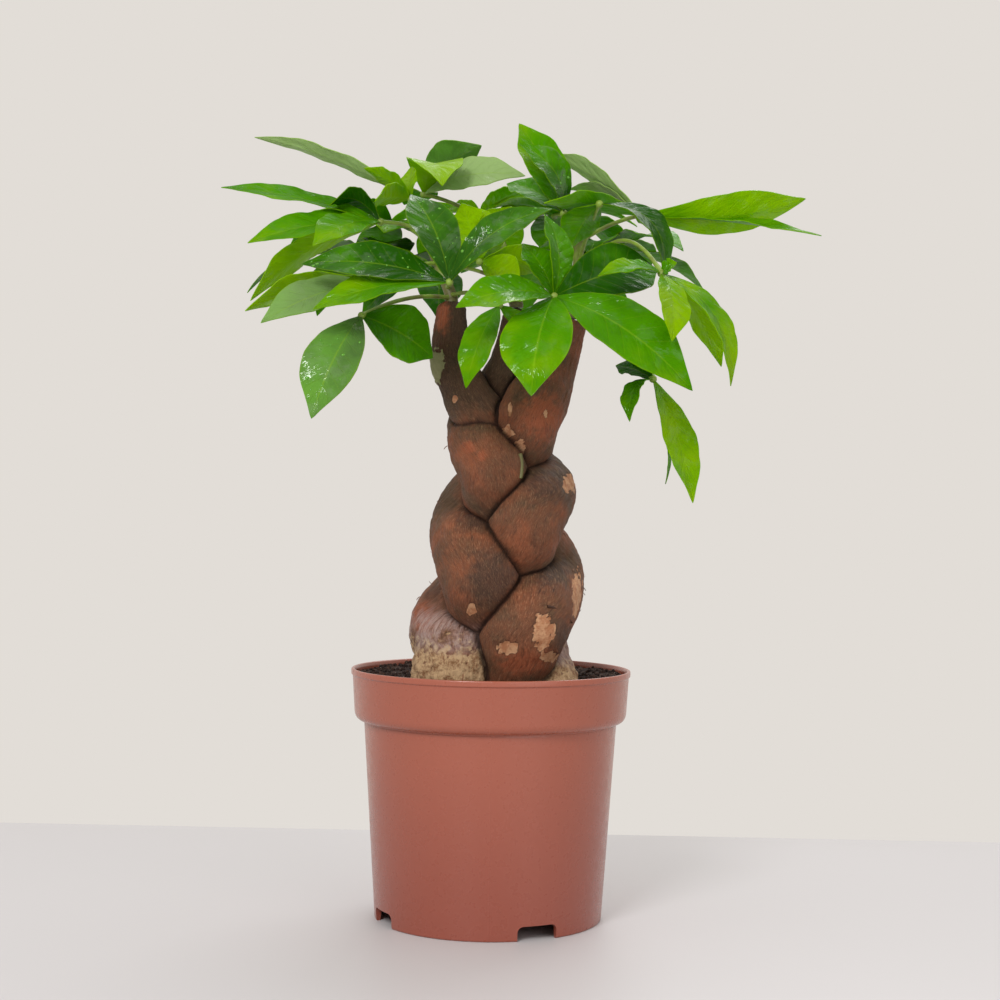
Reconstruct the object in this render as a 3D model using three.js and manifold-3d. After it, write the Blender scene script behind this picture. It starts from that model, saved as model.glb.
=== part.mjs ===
// Potted money tree: three braided stems in a turned plastic nursery pot, with palmate leaves.
// Millimetres, +Z up, front towards -Y. The origin is the middle of the pot on the ground.
import * as THREE from 'three';
import { mergeVertices } from 'three/addons/utils/BufferGeometryUtils.js';
import Module from 'manifold-3d';

const wasm = await Module();
wasm.setup();

// ---- Driving dimensions ----------------------------------------------------------------------

const SEAT = 0.3; // gap between pieces that touch
const UP = new THREE.Vector3(0, 0, 1);

const POT = {
  height: 133, rimRadius: 75, footRadius: 61, wall: 1.4, bandBase: 105.4, bandCorner: 5, bandTop: 129.6,
  shoulderRadius: 67.9, bandRadius: 72.7, floorUnder: 8, floorThickness: 1.6, bossRadius: 9,
  sides: 36,
};
const FOOT_NOTCH = { count: 4, first: -65, width: 22, height: 7.6, corner: 3 };
const DRAIN_HOLE = { count: 8, radius: 4, ring: 44 };

const SOIL = { level: 124.5, crumb: 1.6, rings: 4, sides: 22, holeGrowth: 0.6 };

// The plain braid: each stem swings from side to side and passes in front on its way inwards.
// Its middle, reach and radius are those at the height `at`, and change evenly from there. The
// lead brings it to the side sooner than an even swing would, while it is still behind the others.
const BRAID = {
  at: 200, middle: 6.5, drift: 0.06, reach: 19.6, narrowing: 0.075, radius: 20.4, thinning: 0.05,
  depth: 15.5, swing: 0.4, lead: 0.16, pitch: 172.5, rowStep: 7,
};

// Stems: the height where each swings furthest right, the heights between which it follows the
// braid, and [height, x, y, radius] rows for its splayed foot and its parting top.
const STEMS = {
  left: {
    rightmost: 228.5, from: 152, to: 229,
    foot: [[97, -21, -6, 22], [120, -21, -8, 22.5], [131, -20, -10, 23], [141, -18.5, -4, 22.5]],
    top: [
      [237, 18, 13, 18.5], [244, 12, 11, 17], [251, 6.5, 5, 15.5], [258, 1, -2, 15], [265, -5, -8, 15],
      [276, -13, -10, 13.5], [288, -18.5, -9, 12], [302, -23.5, -5, 10.8], [326, -24, -2, 8],
    ],
  },
  centre: {
    rightmost: 171, from: 150, to: 243,
    foot: [[97, 6, -4, 15], [118, 7, -5, 16], [130, 9, -9, 18], [141, 14, -14, 20.5]],
    top: [
      [249, -6, -14, 17.5], [256, -9.5, -6, 15.5], [263, -11, 3, 14.5], [270, -8, 9, 14.5],
      [278, -2, 8, 13.5], [286, 3.5, 2, 13], [294, 7, -2, 11.5], [310, 9.5, 1, 8.5], [328, 11, 5, 6.5],
    ],
  },
  right: {
    rightmost: 286, from: 142, to: 270,
    foot: [[97, 30, -3, 18], [114, 30, -4, 19], [124, 28, -2, 20], [133, 23, 7, 20.5]],
    top: [[278, 23.5, -10, 17], [288, 28, -3, 14.5], [302, 33, 1, 12.5], [322, 39, 2, 11]],
  },
};
const STEM_FOOT = 97; // buried end of all three
const STEM_SIDES = 12;
const STEM_STEP = 8; // height between rings, the same heights on all three
const CORE_SHARE = 0.4; // the part of a stem's radius that no other stem presses into
const CORE_SIDES = 4;
const CORE_STEP = 14;
const HEART_STEP = 3;

// Young shoots: [x, y, z] from the cut top of a stem upwards.
const SHOOTS = {
  left: [[-24, -2, 326], [-24, -2, 332], [-30, 1, 348], [-38, 2, 366], [-42, 0, 382]],
  centre: [[11, 5, 328], [11, 5, 334], [9, 14, 348], [3, 24, 364], [0, 32, 380]],
  right: [[41, 2, 322], [41, 2, 328], [44, 0, 344], [43, -4, 362], [39, -8, 378]],
};
const SHOOT = { baseRadius: 4.2, tipRadius: 2.4, sides: 8, steps: 7 };

const PETIOLE = { radius: 1.3, sides: 5, steps: 5, rise: 0.12, hubRadius: 2.4 };
const BLADE = { thickness: 0.8, fold: 0.2, ripple: 0.7, clearance: 0.9, rootWidth: 0.07 };
const BLADE_STATIONS = [0, 0.27, 0.6, 0.86, 1];

// Leaves that face the front: the shoot each grows from and how far up it, its hub, and its
// leaflets as [tip from hub x, y, z, greatest width, roll in degrees, arch].
const FRONT_LEAVES = {
  front_right: { shoot: 'right', up: 0.15, hub: [29, -82, 324], leaflets: [
    [-11, -24, -51, 36, -6, 0.13], [67, -18, -47, 32, 54, 0.13], [54, 38, 19, 32, 56, 0.12],
    [-5, 20, 44, 21, 36, 0.12], [-16, 8, 27, 20, -28, 0.1], [-48, -16, -8, 24, -42, 0.12],
  ] },
  front_left: { shoot: 'left', up: 0.2, hub: [-23, -76, 331], leaflets: [
    [-75, 14, 10, 27, -46, 0.08], [-67, -6, -15, 24, -40, 0.08], [-21, 20, 47, 27, -18, 0.12],
    [53, 4, 33, 20, 54, 0.16],
  ] },
  middle: { shoot: 'left', up: 0.12, hub: [2, -58, 322], leaflets: [
    [-16, -24, -44, 18, -14, 0.1], [15, 12, -22, 18, 70, 0.1],
  ] },
  right_high: { shoot: 'right', up: 0.7, hub: [76, -20, 375], leaflets: [
    [89, 10, 12, 25, -48, -0.1], [94, -10, -11, 20, 18, 0.02], [5, -26, -13, 14, 4, 0.1],
    [-52, -34, 0, 18, 20, 0.05], [-49, 60, 44, 18, 42, 0.05], [-36, 64, 25, 16, 28, 0.06],
  ] },
  upright: { shoot: 'right', up: 0.88, hub: [35, -30, 374], leaflets: [
    [-24, 6, 48, 24, -52, 0.08], [-28, -28, 18, 22, -70, 0.22], [-30, 22, 19, 22, -32, 0.1],
  ] },
  left_high: { shoot: 'left', up: 0.75, hub: [-62, -12, 371], leaflets: [
    [-85, -2, 17, 20, -30, 0.04], [-67, -26, -16, 24, -36, 0.06], [-32, -38, -19, 24, -24, 0.1],
    [-26, -14, 6, 15, 30, 0.35], [-70, 8, -42, 22, 22, 0.1],
  ] },
  left_tip: { shoot: 'left', up: 0.9, hub: [-46, -14, 383], leaflets: [
    [-25, -2, 16, 15, 26, 0.06], [0, 8, 19, 14, -48, 0.06], [-18, -16, -4, 18, 36, 0.1],
    [-89, 38, 40, 16, 28, 0.05],
  ] },
  top_centre: { shoot: 'centre', up: 0.9, hub: [-41, 26, 393], leaflets: [
    [32, -12, 25, 28, -28, 0.14], [56, -26, 6, 24, 54, 0.12], [12, -52, -12, 30, 0, 0.26],
    [-13, 40, 1, 26, 12, 0.1],
  ] },
  right_arch: { shoot: 'right', up: 0.5, hub: [53, -42, 377], leaflets: [
    [21, -4, -49, 22, 32, 0.32], [-17, 22, -9, 24, 6, 0.1],
  ] },
  right_low: { shoot: 'right', up: 0.18, hub: [82, -82, 336], leaflets: [
    [3, -26, -36, 18, -22, 0.12], [35, 2, -55, 18, 42, 0.2], [34, 32, -43, 20, 2, 0.08],
    [7, -4, 5, 10, 58, 0.1], [-32, -10, -3, 13, -34, 0.14],
  ] },
  right_hanging: { shoot: 'right', up: 0.05, hub: [82, -40, 287], leaflets: [
    [19, -22, -64, 20, 8, 0.06], [8, 10, -54, 15, 68, 0.08], [-13, -16, -23, 13, 6, 0.25],
    [-20, -8, 6, 17, 26, 0.1],
  ] },
  left_low: { shoot: 'left', up: 0.1, hub: [-68, -56, 316], leaflets: [
    [-22, -26, -54, 29, -30, 0.12], [36, 12, -20, 33, 66, 0.1],
  ] },
  left_mid: { shoot: 'left', up: 0.45, hub: [-63, -34, 335], leaflets: [
    [-66, -10, -16, 24, 26, 0.08], [-54, -38, -25, 25, -36, 0.08],
  ] },
  centre_back: { shoot: 'centre', up: 0.5, hub: [-9, -8, 351], leaflets: [
    [-10, -2, 31, 28, 56, 0.05], [17, 6, 31, 24, -62, 0.06], [22, -12, -16, 24, -72, 0.06],
    [40, 8, -2, 22, -38, 0.06],
  ] },
};

// Leaves that face the back and sides: [shoot, how far up, hub azimuth, hub reach, hub height],
// with azimuth in degrees from +X towards +Y. Their leaflets fan out by rule.
const BACK_LEAVES = {
  back_1: ['right', 0.4, 36, 78, 366],
  back_2: ['right', 0.78, 62, 70, 388],
  back_3: ['centre', 0.3, 70, 92, 364],
  back_4: ['centre', 0.7, 98, 74, 390],
  back_5: ['centre', 0.15, 112, 96, 360],
  back_6: ['left', 0.6, 138, 80, 380],
  back_7: ['left', 0.3, 152, 84, 360],
};
const FAN = { leaflets: 6, spread: 54, longest: 70, widest: 28, droop: -6, dive: -14 };

const FINISHES = {
  pot: [0xa5634f, 0.45], soil: [0x2b211c, 0.95], stem: [0x7d4a33, 0.8], shoot: [0x6d7f3a, 0.6],
  leaf: [0x4f9a1e, 0.4],
};

// ---- Helpers ---------------------------------------------------------------------------------

const radians = THREE.MathUtils.degToRad;
const vector = (list) => new THREE.Vector3(...list);

/** A seeded source of numbers from 0 to 1. */
function dice(seed) {
  let state = seed;
  return () => {
    state = (state * 16807) % 2147483647;
    return state / 2147483647;
  };
}

function toSolid(geometry) {
  const bare = new THREE.BufferGeometry();
  bare.setAttribute('position', geometry.getAttribute('position').clone());
  if (geometry.index) bare.setIndex(geometry.index.clone());
  const merged = mergeVertices(bare, 1e-4);
  return new wasm.Manifold(new wasm.Mesh({
    numProp: 3,
    vertProperties: Float32Array.from(merged.getAttribute('position').array),
    triVerts: Uint32Array.from(merged.index.array),
  }));
}

function toGeometry(solid) {
  const { vertProperties, triVerts } = solid.getMesh();
  const geometry = new THREE.BufferGeometry();
  geometry.setAttribute('position', new THREE.BufferAttribute(vertProperties, 3));
  geometry.setIndex(new THREE.BufferAttribute(triVerts, 1));
  geometry.computeVertexNormals();
  return geometry;
}

function meshOf(name, solid, [color, roughness]) {
  const material = new THREE.MeshStandardMaterial({ color, roughness, metalness: 0, flatShading: true });
  const mesh = new THREE.Mesh(toGeometry(solid), material);
  mesh.name = name;
  return mesh;
}

/** A closed solid through level rings of points, each counter-clockwise seen from above. */
function loft(rings) {
  const sides = rings[0].length;
  const last = rings.length - 1;
  const positions = rings.flat().flatMap((point) => point.toArray());
  const middle = (ring) => ring.reduce((sum, p) => sum.add(p), new THREE.Vector3()).divideScalar(sides);
  const bottom = rings.length * sides;
  positions.push(...middle(rings[0]).toArray(), ...middle(rings[last]).toArray());
  const index = [];
  for (let j = 0; j < sides; j += 1) {
    const next = (j + 1) % sides;
    for (let i = 0; i < last; i += 1) {
      const [a, b, c, d] = [i * sides + j, i * sides + next, (i + 1) * sides + next, (i + 1) * sides + j];
      const rising = rings[i][j].distanceTo(rings[i + 1][next]);
      const falling = rings[i][next].distanceTo(rings[i + 1][j]);
      index.push(...(rising > falling ? [a, b, d, b, c, d] : [a, b, c, a, c, d]));
    }
    index.push(bottom, next, j, bottom + 1, last * sides + j, last * sides + next);
  }
  const geometry = new THREE.BufferGeometry();
  geometry.setAttribute('position', new THREE.Float32BufferAttribute(positions, 3));
  geometry.setIndex(index);
  return toSolid(geometry);
}

/** A round rod of changing radius along a curve. */
function rod(curve, steps, sides, radiusAt) {
  const rings = [];
  for (let i = 0; i <= steps; i += 1) {
    const along = curve.getTangentAt(i / steps);
    const across = new THREE.Vector3(1, 0, 0).cross(along).cross(along).negate().normalize();
    const over = along.clone().cross(across);
    const centre = curve.getPointAt(i / steps);
    const radius = radiusAt(i / steps);
    rings.push(Array.from({ length: sides }, (_, j) => {
      const turn = (j / sides) * 2 * Math.PI;
      return centre.clone()
        .addScaledVector(across, radius * Math.cos(turn))
        .addScaledVector(over, radius * Math.sin(turn));
    }));
  }
  return loft(rings);
}

// ---- Pot -------------------------------------------------------------------------------------

function potSolid() {
  const { height, rimRadius, footRadius, wall, bandBase, bandTop, shoulderRadius, bandRadius } = POT;
  const floorTop = POT.floorUnder + POT.floorThickness;
  const lip = 1.6;
  const cornerSteps = 3;
  const roundedStep = Array.from({ length: cornerSteps + 1 }, (_, i) => {
    const turn = (i / cornerSteps) * (Math.PI / 2);
    return [
      shoulderRadius + (bandRadius - shoulderRadius) * Math.sin(turn),
      bandBase + POT.bandCorner * (1 - Math.cos(turn)),
    ];
  });
  const profile = [
    [0, 0], [POT.bossRadius, 0], [POT.bossRadius + 1.5, POT.floorUnder],
    [footRadius - 3.4, POT.floorUnder], [footRadius - 2.4, 0], [footRadius - 0.5, 0], [footRadius, 1],
    ...roundedStep,
    [rimRadius - 0.8, bandTop], [rimRadius, bandTop + 0.6], [rimRadius, height - 0.8],
    [rimRadius - 0.6, height], [rimRadius - lip, height], [rimRadius - lip - 0.6, height - 1.2],
    [bandRadius - wall, bandBase + POT.bandCorner + 1], [shoulderRadius - wall, bandBase - 1],
    [footRadius + 0.6 - wall, floorTop + 2], [footRadius - 2.6 - wall, floorTop], [0, floorTop],
  ];
  const turned = new THREE.LatheGeometry(profile.map(([r, z]) => new THREE.Vector2(r, z)), POT.sides);
  turned.rotateX(Math.PI / 2);
  let pot = toSolid(turned);

  const notchShape = new THREE.Shape();
  const { width, corner } = FOOT_NOTCH;
  notchShape.moveTo(-width / 2, -2);
  notchShape.lineTo(width / 2, -2);
  notchShape.lineTo(width / 2, FOOT_NOTCH.height - corner);
  notchShape.absarc(width / 2 - corner, FOOT_NOTCH.height - corner, corner, 0, Math.PI / 2, false);
  notchShape.absarc(corner - width / 2, FOOT_NOTCH.height - corner, corner, Math.PI / 2, Math.PI, false);
  const wallDepth = 14;
  for (let i = 0; i < FOOT_NOTCH.count; i += 1) {
    const options = { depth: wallDepth, bevelEnabled: false, curveSegments: 2 };
    const cutter = new THREE.ExtrudeGeometry(notchShape, options);
    cutter.rotateX(Math.PI / 2);
    cutter.translate(0, -(footRadius - wallDepth / 2 - 1), 0);
    cutter.rotateZ(radians(FOOT_NOTCH.first + 90 + (i * 360) / FOOT_NOTCH.count));
    pot = pot.subtract(toSolid(cutter));
  }
  for (let i = 0; i < DRAIN_HOLE.count; i += 1) {
    const drill = new THREE.CylinderGeometry(DRAIN_HOLE.radius, DRAIN_HOLE.radius, 6, 8);
    drill.rotateX(Math.PI / 2);
    drill.translate(DRAIN_HOLE.ring, 0, floorTop - 1);
    drill.rotateZ(((i + 0.5) * 2 * Math.PI) / DRAIN_HOLE.count);
    pot = pot.subtract(toSolid(drill));
  }
  return pot;
}

// ---- Stems -----------------------------------------------------------------------------------

/** A stem's rows from foot to top, with the braid's own rows between. */
function stemRows({ rightmost, from, to, foot, top }) {
  const rows = [...foot];
  for (let z = from; z <= to; z += BRAID.rowStep) {
    const phase = radians(90 + ((rightmost - z) * 360) / BRAID.pitch);
    const above = z - BRAID.at;
    const middle = BRAID.middle + BRAID.drift * above;
    const reach = BRAID.reach - BRAID.narrowing * above;
    const side = Math.sin(phase) + BRAID.lead * (Math.cos(phase) - Math.cos(3 * phase));
    const depth = BRAID.depth * (Math.sin(2 * phase) - BRAID.swing * Math.sin(4 * phase));
    rows.push([z, middle + reach * side, depth, BRAID.radius - BRAID.thinning * above]);
  }
  return [...rows, ...top];
}

const STEM_ROWS = Object.fromEntries(Object.entries(STEMS).map(([name, stem]) => [name, stemRows(stem)]));

/** Place and radius of a stem at one height, on a smooth course through its rows. */
function stemAt(name, z) {
  const rows = STEM_ROWS[name];
  let i = 0;
  while (i < rows.length - 2 && z > rows[i + 1][0]) i += 1;
  const [from, to] = [rows[i], rows[i + 1]];
  const span = to[0] - from[0];
  const t = (z - from[0]) / span;
  const slope = (k, column) => {
    const [a, b] = [rows[Math.max(k - 1, 0)], rows[Math.min(k + 1, rows.length - 1)]];
    return (b[column] - a[column]) / (b[0] - a[0]);
  };
  const value = (column) => {
    const [p, q] = [from[column], to[column]];
    const [m, n] = [slope(i, column) * span, slope(i + 1, column) * span];
    return p + t * m + t * t * (3 * (q - p) - 2 * m - n) + t * t * t * (2 * (p - q) + m + n);
  };
  return { x: value(1), y: value(2), radius: value(3) };
}

/** A stem's heart line as close points, each with the stem's radius there. */
function heartLine(name) {
  const top = STEM_ROWS[name].at(-1)[0];
  const points = [];
  for (let z = STEM_FOOT; z <= top; z += HEART_STEP) {
    const { x, y, radius } = stemAt(name, z);
    points.push({ point: new THREE.Vector3(x, y, z), radius });
  }
  return points;
}

const HEARTS = Object.fromEntries(Object.keys(STEMS).map((name) => [name, heartLine(name)]));

/** How far out a point lies from a stem's heart line: 0 at the heart, 1 on the bark. */
function outness(name, point) {
  return Math.min(...HEARTS[name].map((heart) => heart.point.distanceTo(point) / heart.radius));
}

/** One level ring of a stem: on its bark, or with a smaller share on its core. */
function stemRing(name, z, grow = 0, share = 1) {
  const { x, y } = stemAt(name, z);
  const sides = share < 1 ? CORE_SIDES : STEM_SIDES;
  return Array.from({ length: sides }, (_, j) => {
    const turn = (j / sides) * 2 * Math.PI;
    const pointAt = (reach) => new THREE.Vector3(x + reach * Math.cos(turn), y + reach * Math.sin(turn), z);
    let reach = 0;
    for (let step = 4; step > 0.1; step /= 2) {
      while (outness(name, pointAt(reach + step)) <= share) reach += step;
    }
    return pointAt(reach + grow);
  });
}

function stemSolid(name, grow = 0, share = 1) {
  const top = STEM_ROWS[name].at(-1)[0];
  const step = share < 1 ? CORE_STEP : STEM_STEP;
  const rings = [];
  for (let z = STEM_FOOT; z < top - STEM_STEP / 2; z += step) rings.push(stemRing(name, z, grow, share));
  rings.push(stemRing(name, top, grow, share));
  return loft(rings);
}

/** The three stems. Where they press together the first keeps its round, and each keeps its core. */
function stemSolids() {
  const names = Object.keys(STEMS);
  const cutBack = (name, cores, grow) => names.slice(names.indexOf(name) + 1)
    .reduce((stem, later) => stem.subtract(stemSolid(later, cores, CORE_SHARE)), stemSolid(name, grow));
  return names.map((name, i) => names.slice(0, i)
    .reduce((stem, before) => stem.subtract(cutBack(before, 0, SEAT)), cutBack(name, SEAT, 0)));
}

// ---- Soil ------------------------------------------------------------------------------------

function soilSolid() {
  const roll = dice(41);
  const inside = (z) => {
    const slope = (POT.shoulderRadius - POT.footRadius) / (POT.bandBase - 8);
    return POT.footRadius + slope * z - POT.wall - SEAT - 0.6;
  };
  const bottom = POT.floorUnder + POT.floorThickness + SEAT;
  const level = (radius, z) => Array.from({ length: SOIL.sides }, (_, j) => {
    const turn = (j / SOIL.sides) * 2 * Math.PI;
    const height = z + (z > POT.bandBase ? (roll() - 0.5) * 2 * SOIL.crumb : 0);
    return new THREE.Vector3(radius * Math.cos(turn), radius * Math.sin(turn), height);
  });
  const edge = POT.bandRadius - POT.wall;
  const rings = [
    level(inside(bottom) - 3.4, bottom), level(inside(20), 20),
    level(inside(POT.bandBase - 10), POT.bandBase - 10), level(inside(POT.bandBase - 10), POT.bandBase - 3),
  ];
  for (let i = SOIL.rings; i > 0; i -= 1) rings.push(level((edge * i) / SOIL.rings, SOIL.level));
  const holes = Object.keys(STEMS).map((name) => {
    const heights = [STEM_FOOT - SEAT];
    for (let z = STEM_FOOT; z < POT.height; z += STEM_STEP) heights.push(z);
    return loft(heights.map((z) => stemRing(name, z, SOIL.holeGrowth)));
  });
  return holes.reduce((soil, hole) => soil.subtract(hole), loft(rings));
}

// ---- Shoots and leaves -----------------------------------------------------------------------

function shootCurve(name, lift = 0) {
  const points = SHOOTS[name].map(vector);
  points[0].z += lift;
  return new THREE.CatmullRomCurve3(points);
}

function shootRadius(up) {
  return THREE.MathUtils.lerp(SHOOT.baseRadius, SHOOT.tipRadius, up);
}

function shootSolid(name, grow = 0) {
  return rod(shootCurve(name, SEAT), SHOOT.steps, SHOOT.sides, (up) => shootRadius(up) + grow);
}

/** Half-width of a leaflet at t from root to tip, as a share of its greatest. */
function outline(t) {
  const body = (t * (1 - t) ** 0.8) / 0.29;
  return Math.max(body, t < 0.5 ? BLADE.rootWidth : 0);
}

/** The directions of a leaflet: along its chord, out of its upper face, and to its side. */
function bladeAxes(tip, roll) {
  const along = tip.clone().normalize();
  const face = UP.clone().addScaledVector(along, -along.z).normalize().applyAxisAngle(along, radians(roll));
  return { along, face, side: along.clone().cross(face) };
}

/** One leaflet: a thin arched blade folded along its rib, with a slight ripple. */
function bladeSolid(hub, leaflet, thickness) {
  const { tip, width, roll, arch, phase } = leaflet;
  const { along, face, side } = bladeAxes(tip, roll);
  const length = tip.length();
  const spine = (t) => hub.clone()
    .addScaledVector(along, length * t)
    .addScaledVector(face, length * arch * 4 * t * (1 - t));
  const last = BLADE_STATIONS.length - 1;
  const [top, under] = [[], []];
  BLADE_STATIONS.forEach((t, i) => {
    const half = (outline(t) * width) / 2;
    const columns = i === last ? [0] : [1, 0, -1];
    columns.forEach((column) => {
      const ripple = BLADE.ripple * outline(t) * Math.sin(phase + 9 * t + column);
      const lift = Math.abs(column) * (half * BLADE.fold + ripple);
      const point = spine(t).addScaledVector(side, column * half).addScaledVector(face, lift);
      top.push(point.clone().addScaledVector(face, thickness / 2));
      under.push(point.addScaledVector(face, -thickness / 2));
    });
  });
  const count = top.length;
  const tipIndex = count - 1;
  const index = [];
  const both = (a, b, c) => index.push(a, b, c, c + count, b + count, a + count);
  for (let i = 0; i < last - 1; i += 1) {
    for (let j = 0; j < 2; j += 1) {
      const a = i * 3 + j;
      both(a, a + 3, a + 4);
      both(a, a + 4, a + 1);
    }
  }
  const end = tipIndex - 3;
  both(end, tipIndex, end + 1);
  both(end + 1, tipIndex, end + 2);
  const rim = [];
  for (let i = 0; i < last; i += 1) rim.push(i * 3);
  rim.push(tipIndex);
  for (let i = last - 1; i >= 0; i -= 1) rim.push(i * 3 + 2);
  rim.push(1);
  rim.forEach((a, k) => {
    const b = rim[(k + 1) % rim.length];
    index.push(a, a + count, b + count, a, b + count, b);
  });
  const geometry = new THREE.BufferGeometry();
  const positions = [...top, ...under].flatMap((point) => point.toArray());
  geometry.setAttribute('position', new THREE.Float32BufferAttribute(positions, 3));
  geometry.setIndex(index);
  return toSolid(geometry);
}

/** The ways a blade or stalk may give way: none, then ever wider turns up, down and sideways. */
function* bends(rings, step) {
  yield [0, 0];
  for (let ring = 1; ring <= rings; ring += 1) {
    for (let k = 0; k < 8; k += 1) {
      const turn = (k * Math.PI) / 4;
      yield [Math.cos(turn) * step * ring, Math.sin(turn) * step * ring];
    }
  }
}

/** True if a solid shares no space with any of the others. */
function isClear(solid, others) {
  const box = solid.boundingBox();
  return others.every((other) => {
    const apart = [0, 1, 2].some((k) => box.max[k] < other.box.min[k] || box.min[k] > other.box.max[k]);
    return apart || solid.intersect(other.solid).isEmpty();
  });
}

function bentTip({ tip, roll }, [rise, swing], size) {
  const { along, face, side } = bladeAxes(tip, roll);
  return along.addScaledVector(face, rise).addScaledVector(side, swing).setLength(tip.length() * size);
}

function petioleSolid(from, hub, bow, grow) {
  const chord = hub.clone().sub(from);
  const across = chord.clone().cross(UP).normalize();
  const rise = chord.length() * PETIOLE.rise;
  const bend = from.clone().lerp(hub, 0.5).addScaledVector(UP, rise + bow[0]).addScaledVector(across, bow[1]);
  const curve = new THREE.QuadraticBezierCurve3(from, bend, hub);
  return rod(curve, PETIOLE.steps, PETIOLE.sides, () => PETIOLE.radius + grow);
}

/** The leaflets of a leaf on the back, fanned round the way its hub points. */
function fannedLeaflets(azimuth, roll) {
  const leaflets = [];
  for (let i = 0; i < FAN.leaflets; i += 1) {
    const place = i - (FAN.leaflets - 1) / 2;
    const heading = radians(azimuth + place * FAN.spread + (roll() - 0.5) * 14);
    const inward = Math.abs(place) / ((FAN.leaflets - 1) / 2);
    const length = FAN.longest * (1 - 0.38 * inward) * (0.9 + 0.2 * roll());
    const pitch = radians(FAN.droop + FAN.dive * (1 - inward) + (roll() - 0.5) * 22);
    leaflets.push([
      length * Math.cos(pitch) * Math.cos(heading), length * Math.cos(pitch) * Math.sin(heading),
      length * Math.sin(pitch), FAN.widest * (0.85 + 0.3 * roll()), (roll() - 0.5) * 24, 0.09 + 0.08 * roll(),
    ]);
  }
  return leaflets;
}

/** Every leaf's plan: the shoot, its hub and its leaflets before any gives way to another. */
function leafPlans() {
  const roll = dice(7);
  const plans = Object.entries(FRONT_LEAVES).map(([name, leaf]) => ({ name, ...leaf }));
  Object.entries(BACK_LEAVES).forEach(([name, [shoot, up, azimuth, reach, height]]) => {
    const hub = [reach * Math.cos(radians(azimuth)), reach * Math.sin(radians(azimuth)), height];
    plans.push({ name, shoot, up, hub, leaflets: fannedLeaflets(azimuth, roll) });
  });
  return plans.map((plan) => ({
    ...plan,
    hub: vector(plan.hub),
    leaflets: plan.leaflets.map(([x, y, z, width, turn, arch]) => ({
      tip: new THREE.Vector3(x, y, z), width, roll: turn, arch, phase: 6.3 * roll(),
    })),
  }));
}

/** Leaves one after another, each blade and stalk bent clear of all that is there already. */
function leafSolids(stems, shoots) {
  const placed = [];
  const place = (owner, solid) => placed.push({ owner, solid, box: solid.boundingBox() });
  stems.forEach((solid) => place('stem', solid));
  Object.entries(shoots).forEach(([name, solid]) => place(name, solid));
  const plans = leafPlans();
  plans.forEach((plan) => {
    const knob = new THREE.IcosahedronGeometry(PETIOLE.hubRadius, 0);
    knob.translate(...plan.hub.toArray());
    plan.pieces = [toSolid(knob)];
    place(plan.name, plan.pieces[0]);
  });
  plans.forEach((plan) => {
    const others = () => placed.filter((one) => one.owner !== plan.name);
    plan.leaflets.forEach((leaflet) => {
      for (const size of [1, 0.85, 0.7]) {
        for (const bend of bends(5, 0.13)) {
          const bent = { ...leaflet, tip: bentTip(leaflet, bend, size) };
          if (isClear(bladeSolid(plan.hub, bent, BLADE.thickness + 2 * BLADE.clearance), others())) {
            const blade = bladeSolid(plan.hub, bent, BLADE.thickness);
            plan.pieces.push(blade);
            place(plan.name, blade);
            return;
          }
        }
      }
    });
  });
  plans.forEach((plan) => {
    const root = shootCurve(plan.shoot, SEAT).getPointAt(plan.up);
    const others = placed.filter((one) => one.owner !== plan.name && one.owner !== plan.shoot);
    for (const bow of bends(8, 6)) {
      if (isClear(petioleSolid(root, plan.hub, bow, BLADE.clearance), others)) {
        const stalk = petioleSolid(root, plan.hub, bow, 0).subtract(shootSolid(plan.shoot, SEAT));
        plan.pieces.push(stalk);
        place(plan.name, stalk);
        return;
      }
    }
  });
  return plans.map(({ name, pieces }) => ({
    name: `leaf_${name}`,
    solid: pieces.reduce((whole, piece) => whole.add(piece)),
  }));
}

// ---- Assembly --------------------------------------------------------------------------------

const tree = new THREE.Group();
const stems = stemSolids();
const shoots = Object.fromEntries(Object.keys(SHOOTS).map((name) => [name, shootSolid(name)]));

tree.add(meshOf('pot', potSolid(), FINISHES.pot));
tree.add(meshOf('soil', soilSolid(), FINISHES.soil));
Object.keys(STEMS).forEach((name, i) => tree.add(meshOf(`trunk_${name}`, stems[i], FINISHES.stem)));
Object.entries(shoots).forEach(([name, solid]) => tree.add(meshOf(`shoot_${name}`, solid, FINISHES.shoot)));
leafSolids(stems, shoots).forEach(({ name, solid }) => tree.add(meshOf(name, solid, FINISHES.leaf)));

export default tree;
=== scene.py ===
"""Potted money tree: three plaited stems in a turned plastic nursery pot, with palmate leaves.

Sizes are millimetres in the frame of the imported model: +Z up, the front towards -Y, and the
origin in the middle of the pot on the ground. Each mesh is turned into metres as it is placed.
"""

from __future__ import annotations

import logging
import math
from dataclasses import dataclass, field, replace
from enum import Enum
from typing import Callable, Iterator, Sequence

import bpy
import numpy as np
from mathutils import Matrix, Vector, kdtree, noise


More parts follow.
